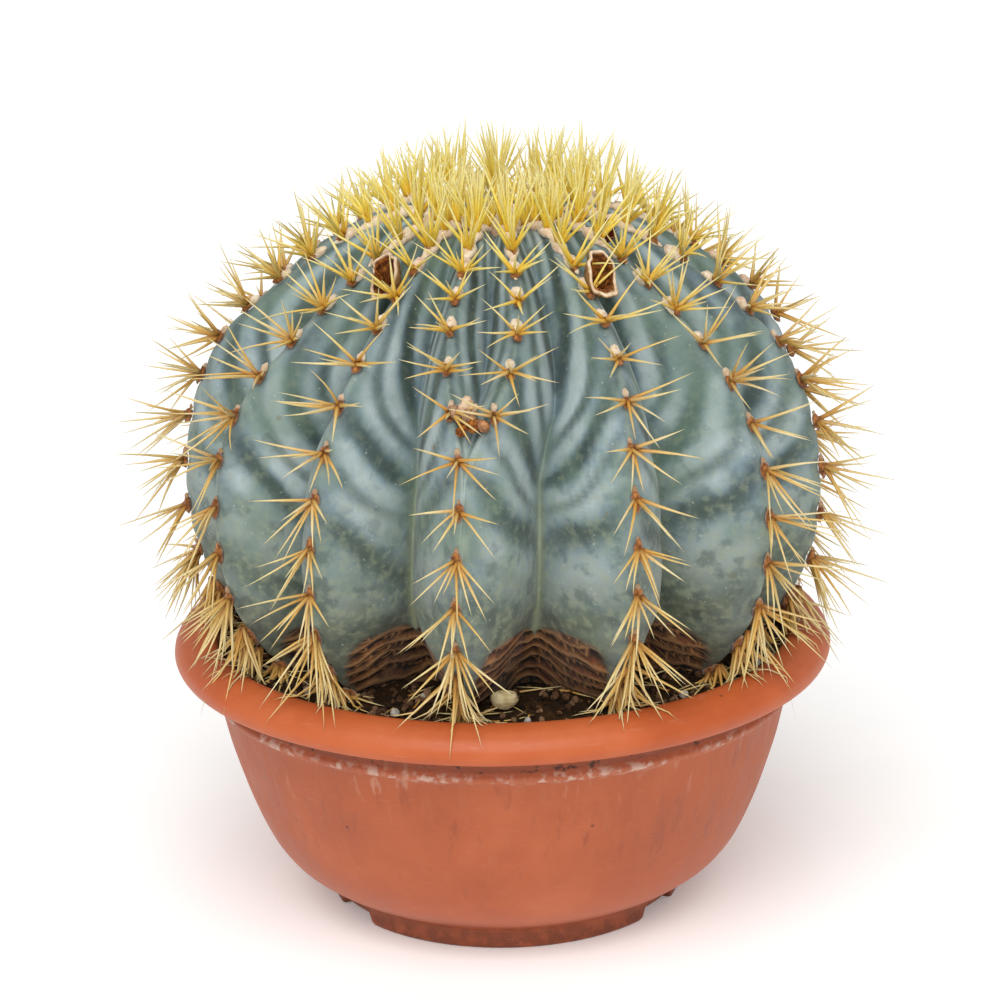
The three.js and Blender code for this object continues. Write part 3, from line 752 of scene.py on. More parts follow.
def crest_spot(azimuth, distance, sink):
    """A point sunk below the crest's surface, and the directions across, up and out as rows."""
    level, azimuth = level_at(np.array([float(distance)])), np.array([float(azimuth)])
    directions = [direction[0] for direction in crest_frame(level, azimuth)]
    return stem_point(level, azimuth, sink)[0], np.stack(directions)


def pod_wall(foot, basis, size, opening, swirl):
    """A pod's torn wall: its outline turned about the crest's normal, drawn out along the crest
    by opening, with its edge waved by two sines and its lip lowered on the downhill side. Returns
    it with how near each of its points is to the lip, and whether it is inside."""
    outline = rounded(POD_OUTLINE, 2) * size
    turn = 2 * np.pi * np.arange(44) / 44
    radius, height = outline[:, 0][:, None], outline[:, 1][:, None]
    high = smoothstep(height, 5 * size, 12 * size)
    wave = 1 + high * (0.09 * np.sin(3 * turn + swirl) + 0.06 * np.sin(7 * turn + 2))
    lip = 1 - 0.5 * high * smoothstep(np.sin(turn), -0.4, 0.8)
    local = np.stack(np.broadcast_arrays(
        radius * np.cos(turn) * wave, -radius * np.sin(turn) * wave * lerp(1, opening, high),
        height * lip), -1)
    rings = foot + local @ basis
    rings = rings + 0.3 * noise(rings, 2.4, 12)[..., None] * basis[2]
    ends = foot + np.array([[0, 0, 0.1 * size], [0, 0, 4.4 * size]]) @ basis
    share = np.arange(len(outline)) / len(outline)
    near_lip = np.clip(1 - np.abs(share - 0.5) * 5.5, 0, 1)
    inside = (share > 0.55).astype(float)
    over_wall = (1,) + rings.shape[:2]
    return (skin(ends[:1], rings[None], ends[1:]),
            over_skin(0, np.broadcast_to(near_lip[None, :, None], over_wall), 0),
            over_skin(0, np.broadcast_to(inside[None, :, None], over_wall), 1))


def pod_fibres(foot, basis, size, count, reach, draw):
    """Dry fibres that stand in a pod, spread evenly over a disc and leaning away from its
    middle."""
    around = draw.uniform(-np.pi, np.pi, count)
    off = np.sqrt(draw.random(count)) * 2.4 * size
    start = foot + np.stack([off * np.cos(around), off * np.sin(around),
                             np.full(count, POD_FLOOR * size)], -1) @ basis
    lean = np.stack([0.24 * np.cos(around), 0.3 * np.sin(around) + 0.1,
                     np.ones(count)], -1) + draw.normal(0, 0.12, (count, 3))
    bend = draw.normal(0, 0.14, (count, 3))
    length = reach * size * draw.uniform(0.6, 1, count)
    return spikes(start, unit(lean @ basis), bend, length, size * draw.uniform(0.28, 0.5, count))


def dried_part(name, shape, material, lip, inner, red):
    """One dried piece, which stands for the node of its own name. red is one number for all."""
    node = name.replace("pod_", "dried_", 1)
    return new_piece(name, shape, material, "dried_skin", [node],
                     lip=lip, inner=inner, red=np.full(len(lip), red))


def pod(name, material, azimuth, distance, sink, size, opening, fibres, reach, red):
    """A dried pod with a torn mouth, and the dry fibres that stand in it."""
    foot, basis = crest_spot(azimuth, distance, sink)
    wall, near_lip, inside = pod_wall(foot, basis, size, opening, azimuth)
    brush = pod_fibres(foot, basis, size, fibres, reach, np.random.default_rng(int(distance) + 7))
    lip = np.concatenate([near_lip, np.zeros(len(brush[0]))])
    inner = np.concatenate([inside, 0.5 + 0.5 * along_spikes(fibres)])
    return dried_part(name, joined(wall, brush), material, lip, inner, red)


def bud(name, material, azimuth, distance, count):
    """A withered bud: a heap of small lumps scattered as a bell curve along and across the
    crest, cream towards the crown and brown lower down."""
    draw = np.random.default_rng(61)
    rows, columns = 6, 10
    foot, basis = crest_spot(azimuth, distance, -1.5)
    off = draw.normal(0, 1, (count, 3)) * [2.2, 4.0, 0] + [0, 0, 3.2]
    off[:, 2] -= 0.35 * np.hypot(off[:, 0], off[:, 1] / 2)
    size = draw.uniform(1.5, 2.9, (count, 1)) * draw.uniform(0.8, 1.2, (count, 3))
    shape = lumps(foot + off @ basis, random_axes(size, draw), 0.2, 62, rows, columns)
    cream = np.clip(0.55 + 0.13 * off[:, 1] + draw.normal(0, 0.25, count), 0, 1)
    cream = np.repeat(cream, 2 + rows * columns)
    return dried_part(name, shape, material, 0.35 + 0.45 * cream, 1 - cream, 0.1)


def dried_pods(material):
    """The two empty fruits, a withered flower and the bud in the fork."""
    pod("pod_fruit_left", material, azimuth=-36, distance=86, sink=6.5, size=1.35, opening=1.5,
        fibres=40, reach=9, red=0.12)
    pod("pod_fruit_right", material, azimuth=30.5, distance=86, sink=6.5, size=1.4, opening=1.5,
        fibres=34, reach=5.5, red=0.0)
    pod("pod_flower", material, azimuth=56, distance=58, sink=4.6, size=0.8, opening=1.0,
        fibres=22, reach=9, red=1.0)
    bud("pod_bud_in_fork", material, azimuth=-6.6, distance=148, count=17)


# ---------------------------------------------------------------- bowl

def bowl_shell(material):
    """The bowl: its outline turned about Z, and pushed in and out by a third of a millimetre as
    a cosine of twice the azimuth. The underside rises into a pit at each drain hole, and the
    foot ring is raised to the underside at three gaps, both by smooth steps."""
    # The underside's rings lie close together, so that the pits come out round.
    underside = np.linspace(4, 72, 50)[:, None] * [1, 0] + [0, FLOOR_UNDERSIDE]
    outside = rounded(BOWL_OUTLINE, 2, 0.2)
    outline = np.vstack([underside, outside, [[40, FLOOR_TOP]]])
    columns = 288
    azimuth = 360 * np.arange(columns)[None] / columns
    turn = np.radians(azimuth)
    radius, height = outline[:, 0][:, None], outline[:, 1][:, None] + 0 * turn
    x, y = radius * np.sin(turn), -radius * np.cos(turn)
    for gap in FOOT_GAPS:
        off = np.radians((azimuth - gap + 180) % 360 - 180) * FOOT_RADIUS
        open_share = 1 - smoothstep(np.abs(off), FOOT_GAP_LENGTH / 2 - 1, FOOT_GAP_LENGTH / 2 + 1)
        foot = (radius < FOOT_RADIUS + 1) & (height < FLOOR_UNDERSIDE)
        height = np.where(foot, lerp(height, FLOOR_UNDERSIDE, open_share), height)
    pit = np.zeros(x.shape)
    for hole in range(DRAIN_HOLES):
        angle = 2 * np.pi * hole / DRAIN_HOLES
        away = np.hypot(x - DRAIN_CIRCLE * math.cos(angle), y - DRAIN_CIRCLE * math.sin(angle))
        pit = np.maximum(pit, 1 - smoothstep(away, DRAIN_RADIUS - 0.6, DRAIN_RADIUS + 0.6))
    below = np.arange(len(outline))[:, None] < len(underside)
    height = height + 2.7 * pit * below
    warp = 0.35 * np.cos(2 * turn + 1) * smoothstep(height, 60, 130)
    x, y = x + warp * np.sin(turn), y - warp * np.cos(turn)
    rings = np.stack([x, y, height], -1)
    # The rings start under the floor, so they are turned the other way to face outwards.
    rings = rings[:, ::-1]
    shape = skin(np.array([[0, 0, FLOOR_UNDERSIDE]]), rings[None], np.array([[0, 0, FLOOR_TOP]]))
    order = len(underside) + np.arange(len(outside))
    # The inside of the wall, which the material darkens as painted shade.
    inner = (np.arange(len(outline)) > order[int(len(outside) * 0.72)]).astype(float)
    return new_piece(
        "bowl_shell", shape, material, "bowl_plastic", ["bowl"],
        pit=over_skin(0, (pit * below)[None, :, ::-1], 0),
        inner=over_skin(0, np.broadcast_to(inner[None, :, None], (1,) + x.shape), 1),
    )


# ---------------------------------------------------------------- soil

def soil_bed(material):
    """The soil, which fills the bowl: the bowl's inside drawn in by half a millimetre, then a
    lumpy surface of rings whose height is soil_lift with three sizes of noise."""
    wall = BOWL_OUTLINE[INSIDE_START:][::-1] + [-SOIL_GAP, SOIL_GAP]
    rows, columns = 64, 840
    surface = np.linspace(128, 66, rows)
    outline = np.vstack([wall, np.stack([surface, np.full(rows, SOIL_EDGE)], -1)])
    turn = 2 * np.pi * np.arange(columns)[None] / columns
    radius, height = outline[:, 0][:, None], outline[:, 1][:, None] + 0 * turn
    x, y = radius * np.sin(turn), -radius * np.cos(turn)
    flat = np.stack([x, y, 0 * x], -1)
    crumb = 1.5 * noise(flat, 7, 31) + 1.1 * noise(flat, 3.2, 32) + 0.6 * noise(flat, 1.6, 33)
    top = np.arange(len(outline))[:, None] >= len(wall)
    calm = 1 - 0.6 * smoothstep(radius, 124, 128)
    height = np.where(top, height + soil_lift(x, y) + crumb * calm, height)
    rings = np.stack([x, y, height], -1)[:, ::-1]
    shape = skin(np.array([[0, 0, 9.6]]), rings[None], np.array([[0, 0, 100]]))
    return new_piece("soil_bed", shape, material, "potting_soil", ["soil"],
                     pick=over_skin(0.3, (0.3 + 0.15 * noise(flat, 5, 34))[None, :, ::-1], 0.3))


def on_soil(count, inner, outer, draw):
    """Random places on the soil, spread evenly over a ring between two radii."""
    radius = np.sqrt(draw.uniform(inner ** 2, outer ** 2, count))
    turn = draw.uniform(0, 2 * np.pi, count)
    x, y = radius * np.sin(turn), -radius * np.cos(turn)
    return np.stack([x, y, SOIL_EDGE + soil_lift(x, y)], -1)


def random_axes(size, draw):
    """Three right-angled axes in a random turn, with the lengths that size (count, 3) gives."""
    count = len(size)
    first = unit(draw.normal(0, 1, (count, 3)))
    second = unit(np.cross(first, draw.normal(0, 1, (count, 3))))
    third = np.cross(first, second)
    return np.stack([first, second, third], 1) * size[..., None]


def soil_crumbs(material):
    """Crumbs, bark chips and husks on the soil: small lumps, the chips flat and long."""
    draw = np.random.default_rng(8)
    rows, columns = 3, 6
    crumbs, chips = 1500, 260
    where = np.vstack([on_soil(crumbs, 84, 126.5, draw), on_soil(chips, 86, 125, draw)])
    grain = draw.uniform(0.6, 2.1, (crumbs, 1)) * draw.uniform(0.7, 1.2, (crumbs, 3))
    chip = draw.uniform(0.7, 1.5, (chips, 1)) * np.array([3.0, 1.1, 0.6])
    size = np.vstack([grain, chip])
    where[:, 2] += 0.5
    shape = lumps(where, random_axes(size, draw), 0.2, 9, rows, columns)
    pick = np.concatenate([draw.uniform(0, 0.75, crumbs), draw.uniform(0.5, 1, chips)])
    pick = np.repeat(pick, 2 + rows * columns)
    return new_piece("soil_crumbs", shape, material, "potting_soil", ["soil"], False, pick=pick)


def fallen_spines(material):
    """Old spines and dry fibres that lie on the soil in any heading, shorter where they would
    reach the rim."""
    draw = np.random.default_rng(18)
    count = 170
    base = on_soil(count, 92, 120, draw) + [0, 0, 1.6]
    heading = draw.uniform(0, 2 * np.pi, count)
    direction = unit(np.stack([np.cos(heading), np.sin(heading), draw.normal(0, 0.12, count)], -1))
    bend = 0.12 * draw.normal(0, 1, (count, 3)) * [1, 1, 0.2]
    length = draw.uniform(9, 26, count)
    end = np.hypot(*(base + direction * length[:, None])[:, :2].T)
    length = np.where(end > 126, length * 0.45, length)
    parts = (base, direction, bend, length, draw.uniform(0.35, 0.6, count), np.full(count, 0.97))
    return spine_piece("fallen_spines", [parts], material, ["soil"])


def facets(node, rows, columns, rough, seed):
    """A lump that fills a node's box: a ball stretched to the box, its size stepped by noise
    that is rounded to a few levels, so that it has flats."""
    low, high = (np.array(corner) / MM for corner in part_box(node))
    centre, half = ((low + high) / 2)[None], (high - low) / 2
    points, quads, triangles = lumps(centre, np.diag(half)[None], 0, seed, rows, columns)
    away = (points - centre) / half
    cut = 1 + rough * np.round(2.2 * noise(away + seed, 0.62, seed)) / 2.2
    fine = 1 + 0.25 * rough * noise(away, 0.2, seed)
    return centre + (points - centre) * (cut * fine)[:, None], quads, triangles


def loose_stones(stone_material, perlite_material):
    """The pebble, and the grains of perlite: the six that the frame places and many small."""
    pebble = facets("stone", 22, 34, 0.13, 3)
    new_piece("pebble", pebble, stone_material, "pale_stone", ["stone"],
              pick=np.full(len(pebble[0]), 0.5))
    nodes = [f"perlite_{i + 1}" for i in range(6)]
    grains = [facets(node, 10, 16, 0.2, 40 + i) for i, node in enumerate(nodes)]
    draw = np.random.default_rng(28)
    count = 80
    where = on_soil(count, 88, 126, draw) + [0, 0, 0.6]
    size = draw.uniform(0.5, 1.25, (count, 1)) * draw.uniform(0.8, 1.2, (count, 3))
    shape = joined(*grains, lumps(where, random_axes(size, draw), 0.22, 29, 3, 6))
    new_piece("perlite_grains", shape, perlite_material, "perlite_white", nodes, False,
              pick=draw.random(len(shape[0])))


# ---------------------------------------------------------------- materials

def shade(text):
    """A colour as six hexadecimal digits of the screen's scale, made linear."""
    parts = [int(text[i:i + 2], 16) / 255 for i in (0, 2, 4)]
    line = [p / 12.92 if p <= 0.04045 else ((p + 0.055) / 1.055) ** 2.4 for p in parts]
    return (*line, 1)


class Finish:
    """A material in the making. Each method adds a node and returns the socket it gives."""

    def __init__(self, name, **fixed):
        """fixed are numbers for the shader's own sockets, which hold all over the surface."""
        self.material = bpy.data.materials.new(name)
        self.material.use_nodes = True
        self.nodes = self.material.node_tree.nodes
        self.links = self.material.node_tree.links
        self.shader = self.nodes["Principled BSDF"]
        for key, number in fixed.items():
            self.shader.inputs[key.replace("_", " ")].default_value = number

    def add(self, kind, inputs, output=0, **settings):
        """A node whose inputs are each linked to a socket or set to a number."""
        node = self.nodes.new(kind)
        for key, choice in settings.items():
            setattr(node, key, choice)
        for key, given in inputs.items():
            if isinstance(given, bpy.types.NodeSocket):
                self.links.new(given, node.inputs[key])
            else:
                node.inputs[key].default_value = given
        return node.outputs[output]

    def place(self, stretch=(1, 1, 1)):
        """The place on the object, in metres, stretched along each axis."""
        where = self.add("ShaderNodeTexCoord", {}, "Object")
        return self.add("ShaderNodeMapping", {"Vector": where, "Scale": stretch})

    def value(self, name):
        """A number that the piece's mesh holds for each point."""
        return self.add("ShaderNodeAttribute", {}, "Fac", attribute_name=name)

    def noise(self, size, detail=3.0, stretch=(1, 1, 1), roughness=0.55, twist=0.0):
        """Clouds from 0 to 1 whose size is in millimetres."""
        return self.add("ShaderNodeTexNoise", {
            "Vector": self.place(stretch), "Scale": 1000 / size, "Detail": detail,
            "Roughness": roughness, "Distortion": twist})

    def cells(self, size):
        """The distance to the nearest of many scattered dots that lie size millimetres apart."""
        return self.add("ShaderNodeTexVoronoi", {"Vector": self.place(), "Scale": 1000 / size})

    def band(self, number, low, high, start=0.0, end=1.0):
        """start below low, end above high, and a smooth step between."""
        return self.add("ShaderNodeMapRange", {
            "Value": number, "From Min": low, "From Max": high, "To Min": start, "To Max": end,
        }, interpolation_type="SMOOTHSTEP")

    def calc(self, how, one, two=0.0):
        """One step of arithmetic."""
        return self.add("ShaderNodeMath", {0: one, 1: two}, operation=how)

    def times(self, first, *others):
        """The product of several numbers."""
        for other in others:
            first = self.calc("MULTIPLY", first, other)
        return first

    def mix(self, share, one, two):
        """Colour one at share 0 and two at share 1."""
        one = shade(one) if isinstance(one, str) else one
        two = shade(two) if isinstance(two, str) else two
        return self.add("ShaderNodeMix", {0: share, 6: one, 7: two}, 2, data_type="RGBA")

    def over(self, colour, tint, *masks):
        """A tint laid over a colour as strongly as the masks' product."""
        return self.mix(self.times(*masks), colour, tint)

    def ramp(self, number, *stops):
        """A colour picked by a number from (place, colour) stops."""
        node = self.nodes.new("ShaderNodeValToRGB")
        marks = node.color_ramp.elements
        while len(marks) < len(stops):
            marks.new(0.5)
        for mark, (place, colour) in zip(marks, stops):
            mark.position = place
            mark.color = shade(colour)
        self.links.new(number, node.inputs[0])
        return node.outputs[0]

    def height(self):
        """The height above the floor in metres."""
        where = self.add("ShaderNodeTexCoord", {}, "Object")
        return self.add("ShaderNodeSeparateXYZ", {0: where}, 2)

    def bump(self, number, deep, normal=None):
        """A small relief of a depth in millimetres, on top of another where normal is given."""
        inputs = {"Height": number, "Distance": deep * 0.001}
        if normal is not None:
            inputs["Normal"] = normal
        return self.add("ShaderNodeBump", inputs)

    def done(self, colour, roughness, normal):
        """Links the three to the shader and gives the material."""
        for key, given in (("Base Color", colour), ("Roughness", roughness), ("Normal", normal)):
            self.links.new(given, self.shader.inputs[key])
        return self.material


def cork_colour(m, layer):
    """Brown bark in thin layers: painted shade in the grooves, tan painted highlights on the ridges."""
    bark = m.ramp(m.noise(5, 5, twist=0.8), (0.25, "321c0c"), (0.42, "66401f"), (0.58, "8a5b33"),
                  (0.78, "ad8455"))
    bark = m.over(bark, "84401f", m.band(m.noise(14, 3), 0.5, 0.65, 0, 0.5))
    bark = m.over(bark, "2a180c", m.band(m.noise(9, 4), 0.42, 0.6, 0.5, 0))
    off_ridge = m.calc("ABSOLUTE", m.calc("SUBTRACT", layer, 0.5))
    # Painted shade in the grooves between the layers.
    bark = m.over(bark, "190e06", m.band(off_ridge, 0.16, 0.42))
    # Painted highlight, tan, on the ridges of the layers.
    return m.over(bark, "b88a55", m.band(off_ridge, 0.18, 0.04), 0.6)


def stem_finish():
    """Blue-green, waxy skin: painted light on the folds, painted shade in the creases and above the
    cork, darker and greener low down, a yellow-green line in the furrows, and brown layered cork at the
    foot."""
    m = Finish("waxy_skin", Sheen_Weight=0.12, Sheen_Roughness=0.6, Specular_IOR_Level=0.35)
    bloom, valley, cork = m.value("bloom"), m.value("valley"), m.value("cork")
    age, layer, crease = m.value("age"), m.value("layer"), m.value("crease")
    blotch = m.noise(16, 4, twist=0.6)
    # The tone starts from the painted light and shade of the folds.
    tone = m.calc("ADD", bloom, m.times(m.calc("SUBTRACT", blotch, 0.5), 0.7))
    tone = m.calc("ADD", tone, m.band(age, 0.2, 0.42, -0.1, 0.06))
    colour = m.ramp(tone, (0.12, "2d3e40"), (0.36, "50636a"), (0.6, "7f949b"), (0.86, "a9b8ba"))
    # Painted shade in the creases between the folds and above the cork.
    colour = m.over(colour, "37473f", crease, m.band(m.noise(12), 0.2, 0.6, 0.5, 0.85))
    colour = m.over(colour, "67806f", m.band(m.noise(34, 3), 0.42, 0.66), 0.6)
    lower = m.band(age, 0.42, 0.64)
    colour = m.over(colour, "5f6854", lower, m.band(blotch, 0.25, 0.7, 0.45, 0.9))
    worn = m.band(m.noise(4, 6), 0.46, 0.66)
    colour = m.over(colour, "929a7e", worn, m.band(age, 0.3, 0.6, 0.15, 0.45))
    dingy = m.band(m.noise(8, 6), 0.5, 0.34)
    colour = m.over(colour, "3f4b42", dingy, m.band(age, 0.3, 0.6, 0.15, 0.5))
    furrow_line = m.band(valley, 0.9, 0.99)
    colour = m.over(colour, "98a07c", furrow_line, m.band(age, 0.3, 0.5, 0.0, 0.55))
    keel = m.band(valley, 0.1, 0.02)
    colour = m.over(colour, "8b9a8a", keel, m.band(m.noise(5), 0.4, 0.65, 0.1, 0.6))
    flecks = m.band(m.cells(3.2), 0.2, 0.08)
    colour = m.over(colour, "b9c2b4", flecks, m.band(m.noise(9), 0.5, 0.62, 0, 0.5))
    scars = m.band(m.cells(21), 0.12, 0.05)
    colour = m.over(colour, "6b5f45", scars, m.band(m.noise(4), 0.45, 0.6, 0, 0.7))
    foot = m.band(age, 0.62, 0.72)
    colour = m.over(colour, "6e6650", foot, m.band(m.noise(7), 0.4, 0.7, 0.0, 0.75))
    colour = m.mix(cork, colour, cork_colour(m, layer))
    rough = m.band(m.noise(6), 0.3, 0.7, 0.46, 0.64)
    rough = m.calc("ADD", rough, m.times(cork, 0.25))
    normal = m.bump(m.noise(2.2, 4), 0.22)
    normal = m.bump(m.noise(0.7, 2), 0.06, normal)
    return m.done(colour, rough, normal)


def spine_finish():
    """Horn: orange-brown at the foot, gold, then straw and olive at the tip. The young ones at
    the crown are lemon yellow, and each spine is a little lighter or darker than the next."""
    m = Finish("spine_horn", Subsurface_Weight=0.12, Subsurface_Scale=0.002, Specular_IOR_Level=0.4)
    m.shader.inputs["Subsurface Radius"].default_value = (1.0, 0.6, 0.25)
    along, pick, age = m.value("along"), m.value("pick"), m.value("age")
    old = m.ramp(along, (0.0, "74451e"), (0.08, "b58444"), (0.26, "d2ae6b"), (0.6, "e4ce97"),
                 (1.0, "cdbf92"))
    warm = m.ramp(along, (0.0, "80451c"), (0.09, "bb813a"), (0.36, "d4a65a"), (0.75, "dfc07d"),
                  (1.0, "c4ae7c"))
    pale = m.ramp(along, (0.0, "86603a"), (0.12, "c9aa74"), (0.5, "ecdaae"), (1.0, "d3c8a2"))
    grown = m.mix(m.band(pick, 0.35, 0.6), old, warm)
    grown = m.over(grown, pale, m.band(pick, 0.7, 0.9), 0.85)
    young = m.ramp(along, (0.0, "d7961f"), (0.12, "f2c838"), (0.36, "f9e160"), (0.7, "fceda0"),
                   (1.0, "ebe0a0"))
    colour = m.mix(m.band(age, 0.24, 0.56, 0.0, 0.9), young, grown)
    streak = m.noise(1.3, 2)
    colour = m.over(colour, "7a5426", m.band(streak, 0.4, 0.7, 0.0, 0.14))
    rough = m.band(streak, 0.3, 0.7, 0.38, 0.58)
    return m.done(colour, rough, m.bump(m.noise(0.5, 2), 0.05))


def felt_finish():
    """Cream felt with pinkish and dusty patches, and brown, resin-dark knots under the spines."""
    m = Finish("areole_wool", Sheen_Weight=0.45, Sheen_Roughness=0.5, Specular_IOR_Level=0.15)
    tone, age = m.value("tone"), m.value("age")
    mottle = m.noise(2.2, 4)
    cream = m.ramp(mottle, (0.25, "b08f6a"), (0.4, "dcc4a0"), (0.56, "f0dfc4"), (0.8, "f6ecdc"))
    cream = m.over(cream, "dfb39b", m.band(m.noise(5), 0.48, 0.66, 0, 0.5))
    cream = m.over(cream, "9c6f45", m.band(age, 0.3, 0.6, 0, 0.8))
    knot = m.ramp(mottle, (0.25, "4a2a14"), (0.42, "7f4a22"), (0.58, "ab6c35"), (0.8, "c9935a"))
    colour = m.mix(tone, cream, knot)
    normal = m.bump(m.noise(0.9, 4, twist=1.2), 0.35)
    return m.done(colour, m.band(mottle, 0.2, 0.8, 0.8, 0.98), normal)


def pod_finish():
    """Dried fruit wall: grey-brown outside, a cream and pink torn lip, a dark orange-brown
    fibrous inside, and dark red where a flower withered."""
    m = Finish("dried_pod", Specular_IOR_Level=0.25)
    lip, inner, red = m.value("lip"), m.value("inner"), m.value("red")
    mottle = m.noise(2.4, 5)
    outside = m.ramp(mottle, (0.3, "5b3c1f"), (0.5, "8d683c"), (0.7, "ab8b5c"))
    inside = m.ramp(mottle, (0.3, "2c1606"), (0.48, "6d3c14"), (0.62, "b06a26"), (0.8, "d6983f"))
    rim = m.ramp(mottle, (0.3, "c79f78"), (0.55, "e6cdae"), (0.75, "f0dcc6"))
    colour = m.mix(m.band(inner, 0.1, 0.5), outside, inside)
    colour = m.mix(m.band(lip, 0.35, 0.75), colour, rim)
    colour = m.over(colour, m.mix(mottle, "3a0f0c", "8a2a1c"), red, 0.85)
    normal = m.bump(m.noise(1.1, 4, stretch=(1, 1, 0.35)), 0.3)
    return m.done(colour, m.band(mottle, 0.2, 0.8, 0.6, 0.88), normal)


def bowl_finish():
    """Terracotta-coloured plastic: a satin collar, a wall with faint upright streaks, lime
    marks under the collar and along the ledge, dust, painted shadow under the collar, painted shade
    inside the wall, darker towards the foot, and soil in the pits."""
    m = Finish("terracotta_plastic", Specular_IOR_Level=0.42)
    height, pit, inner = m.height(), m.value("pit"), m.value("inner")
    cloud = m.noise(38, 4)
    body = m.ramp(cloud, (0.3, "a3502b"), (0.5, "ad5731"), (0.7, "b7613a"))
    collar = m.ramp(cloud, (0.3, "b15124"), (0.5, "bb592a"), (0.7, "c36335"))
    colour = m.mix(m.band(height, 0.108, 0.113), body, collar)
    wall = m.times(m.band(height, 0.113, 0.106), m.band(height, 0.02, 0.06))
    streak = m.noise(7, 4, stretch=(1, 1, 0.07), roughness=0.65)
    colour = m.over(colour, "b06a4c", wall, m.band(streak, 0.5, 0.7, 0, 0.3))
    colour = m.over(colour, "8f4326", wall, m.band(streak, 0.46, 0.3, 0, 0.55))
    upper = m.times(m.band(height, 0.07, 0.1), m.band(height, 0.1125, 0.106))
    drips = m.band(m.noise(5, 3, stretch=(1, 1, 0.16)), 0.56, 0.7, 0, 0.4)
    colour = m.over(colour, "c9a28a", upper, drips, m.band(m.noise(45, 2), 0.42, 0.6))
    ledge = m.times(m.band(height, 0.0985, 0.1012), m.band(height, 0.1062, 0.1038))
    dust = m.band(m.noise(4, 4), 0.46, 0.62, 0.05, 0.75)
    colour = m.over(colour, "cfb3a2", ledge, dust, m.band(m.noise(28, 2), 0.4, 0.58, 0.15, 1))
    # Painted shadow in the recess under the collar, deepest in patches.
    collar_shadow = m.times(m.band(height, 0.1045, 0.1065), m.band(height, 0.1135, 0.1115))
    colour = m.over(colour, "6f3118", collar_shadow, 0.55)
    colour = m.over(colour, "3b2013", collar_shadow, m.band(m.noise(3, 4), 0.56, 0.66, 0, 0.9))
    # Darker towards the bottom, in patches.
    foot = m.band(height, 0.022, 0.002)
    colour = m.over(colour, "763a20", foot, m.band(m.noise(6, 4), 0.36, 0.6, 0.4, 0.95))
    specks = m.band(m.cells(11), 0.1, 0.05)
    colour = m.over(colour, "4a2715", specks, m.band(m.noise(16), 0.5, 0.6), 0.75)
    scuffs = m.noise(2.2, 3, stretch=(0.25, 0.25, 2.2))
    colour = m.over(colour, "c98464", m.band(scuffs, 0.62, 0.72, 0, 0.2))
    # Painted shade on the inside of the wall above the soil.
    colour = m.over(colour, "6a3a22", inner, 0.35)
    colour = m.over(colour, "21140c", pit)
    rough = m.band(cloud, 0.3, 0.7, 0.42, 0.52)
    rough = m.calc("ADD", rough, m.times(wall, m.band(streak, 0.3, 0.7, 0.02, 0.2)))
    normal = m.bump(m.noise(9, 3, stretch=(1, 1, 0.12)), 0.25)
    normal = m.bump(m.noise(0.8, 3), 0.045, normal)
    return m.done(colour, rough, normal)


def soil_finish(name, dark, middle, light):
    """Potting soil: dark peat with lighter, redder crumbs by each crumb's own number."""
    m = Finish(name, Specular_IOR_Level=0.15)
    pick = m.value("pick")
    grain = m.noise(1.8, 5)
    tone = m.calc("ADD", m.times(pick, 0.75), m.times(grain, 0.5))
    colour = m.ramp(tone, (0.25, dark), (0.55, middle), (0.95, light))
    colour = m.over(colour, "1c120b", m.band(m.noise(11, 3), 0.35, 0.6, 0.55, 0))
    normal = m.bump(m.noise(0.9, 5), 0.5)
    return m.done(colour, m.band(grain, 0.2, 0.8, 0.85, 1.0), normal)


def stone_finish(name, dark, light, stain, size):
    """Stone: two tones in clouds, with stains in patches and a gritty surface."""
    m = Finish(name, Specular_IOR_Level=0.3)
    cloud = m.noise(size, 5)
    colour = m.ramp(cloud, (0.3, dark), (0.7, light))
    colour = m.over(colour, stain, m.band(m.noise(size * 0.6, 4), 0.55, 0.7, 0, 0.6))
    normal = m.bump(m.noise(0.6, 4), 0.25)
    return m.done(colour, m.band(cloud, 0.2, 0.8, 0.7, 0.95), normal)


def floor_finish():
    """A pale, faintly mottled studio floor, lit a little from within so that it stays pale."""
    m = Finish("studio_floor", Specular_IOR_Level=0.1, Emission_Strength=0.18)
    m.shader.inputs["Emission Color"].default_value = (1, 1, 1, 1)
    cloud = m.noise(400, 3)
    colour = m.ramp(cloud, (0.3, "f4f3f1"), (0.7, "fbfbfa"))
    return m.done(colour, m.band(cloud, 0.3, 0.7, 0.85, 0.95), m.bump(cloud, 0.2))


# ---------------------------------------------------------------- studio

# The camera's distance in metres, its angles in degrees, its lens in millimetres, and the height
# it aims at as a share of the object's.
CAMERA_DISTANCE = 1.7788
CAMERA_ELEVATION = 17.89
CAMERA_ROLL = 1.03
CAMERA_LENS = 141.4
AIM_SHARE = 0.5205


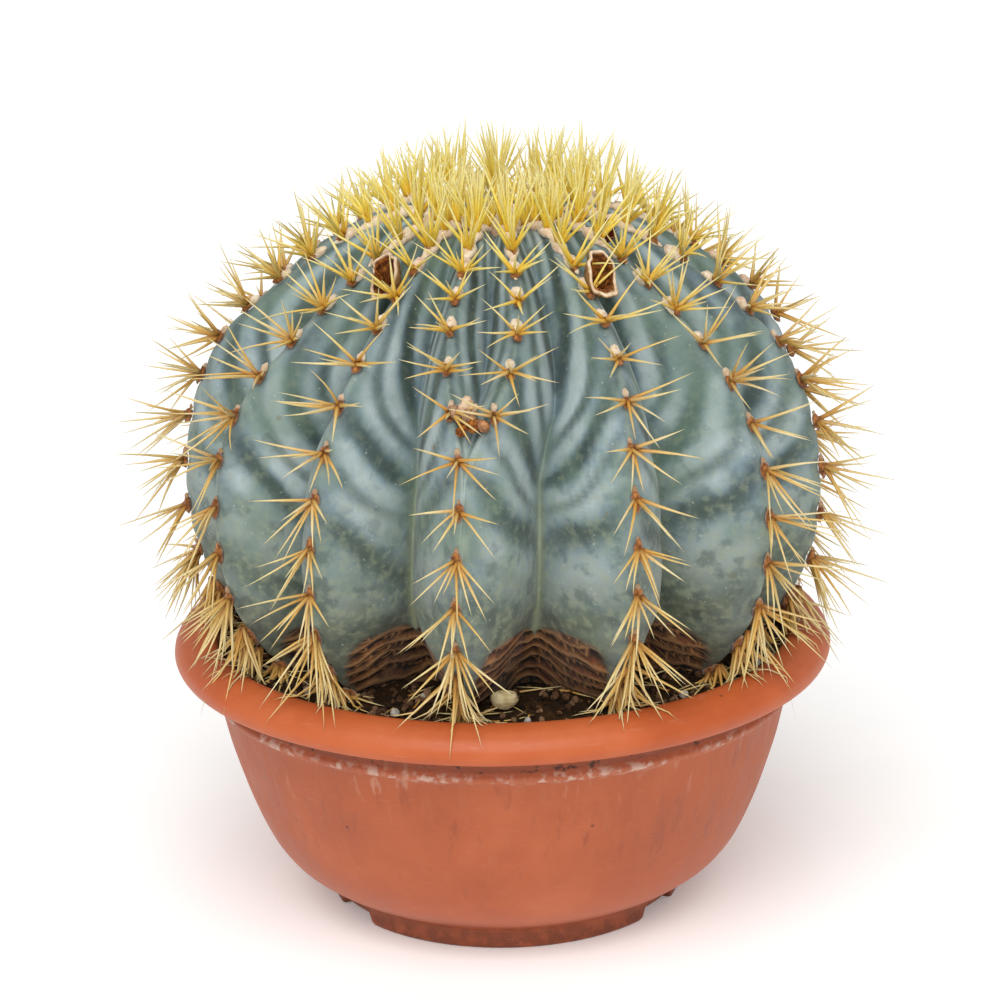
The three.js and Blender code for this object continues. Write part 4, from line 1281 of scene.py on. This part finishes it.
def make_camera():
    """Looks at the object's axis from the front and above, and is rolled a little."""
    aim = Vector((0, 0, AIM_SHARE * CAD_BOX[1].z))
    lift, roll = math.radians(CAMERA_ELEVATION), math.radians(CAMERA_ROLL)
    back = Vector((0, -math.cos(lift), math.sin(lift)))
    level_right, level_up = Vector((1, 0, 0)), Vector((0, math.sin(lift), math.cos(lift)))
    right = math.cos(roll) * level_right - math.sin(roll) * level_up
    up = math.cos(roll) * level_up + math.sin(roll) * level_right
    camera = bpy.data.objects.new("camera", bpy.data.cameras.new("camera"))
    camera.data.lens = CAMERA_LENS
    turned = Matrix((right, up, back)).transposed().to_4x4()
    camera.matrix_world = Matrix.Translation(aim + back * CAMERA_DISTANCE) @ turned
    bpy.context.scene.collection.objects.link(camera)
    bpy.context.scene.camera = camera


def soft_sun(name, azimuth, elevation, strength, softness):
    """An even light over the whole room from an azimuth left of the front, with soft shadows."""
    light = bpy.data.lights.new(name, "SUN")
    light.energy = strength
    light.angle = math.radians(softness)
    lift, turn = math.radians(elevation), math.radians(azimuth)
    place = Vector((-math.sin(turn) * math.cos(lift), -math.cos(turn) * math.cos(lift), math.sin(lift)))
    lamp = bpy.data.objects.new(name, light)
    lamp.rotation_euler = (-place).to_track_quat("-Z", "Y").to_euler()
    bpy.context.scene.collection.objects.link(lamp)


def make_studio():
    """A white room light, and a broad soft light from above the front."""
    world = bpy.data.worlds.new("studio")
    world.use_nodes = True
    sky = world.node_tree.nodes["Background"]
    sky.inputs[0].default_value = (1, 1, 1, 1)
    sky.inputs[1].default_value = 0.5
    bpy.context.scene.world = world
    bpy.context.scene.view_settings.view_transform = "Standard"
    soft_sun("key_light", 6, 50, 2.3, 50)
    side = 6
    floor = bpy.data.meshes.new("studio_floor")
    floor.from_pydata([(-side, -side, 0), (side, -side, 0), (side, side, 0), (-side, side, 0)],
                      [], [(0, 1, 2, 3)])
    floor.materials.append(floor_finish())
    stage = bpy.data.objects.new("studio_floor", floor)
    bpy.context.scene.collection.objects.link(stage)


def main():
    """Makes the camera, the studio, and every piece with its material."""
    make_camera()
    make_studio()
    horn, wool = spine_finish(), felt_finish()
    bowl_shell(bowl_finish())
    soil_bed(soil_finish("peat", "150d07", "35230f", "6b4c2c"))
    soil_crumbs(soil_finish("peat_crumbs", "1a100a", "4a3220", "967355"))
    loose_stones(stone_finish("field_stone", "b39a68", "ecdcb0", "94733f", 4),
                 stone_finish("perlite", "948d82", "cfc9bf", "6f6455", 2))
    stem_skin(stem_finish())
    spine_rows(horn)
    fallen_spines(horn)
    areole_felt(wool)
    crown_felt(wool)
    dried_pods(pod_finish())


main()
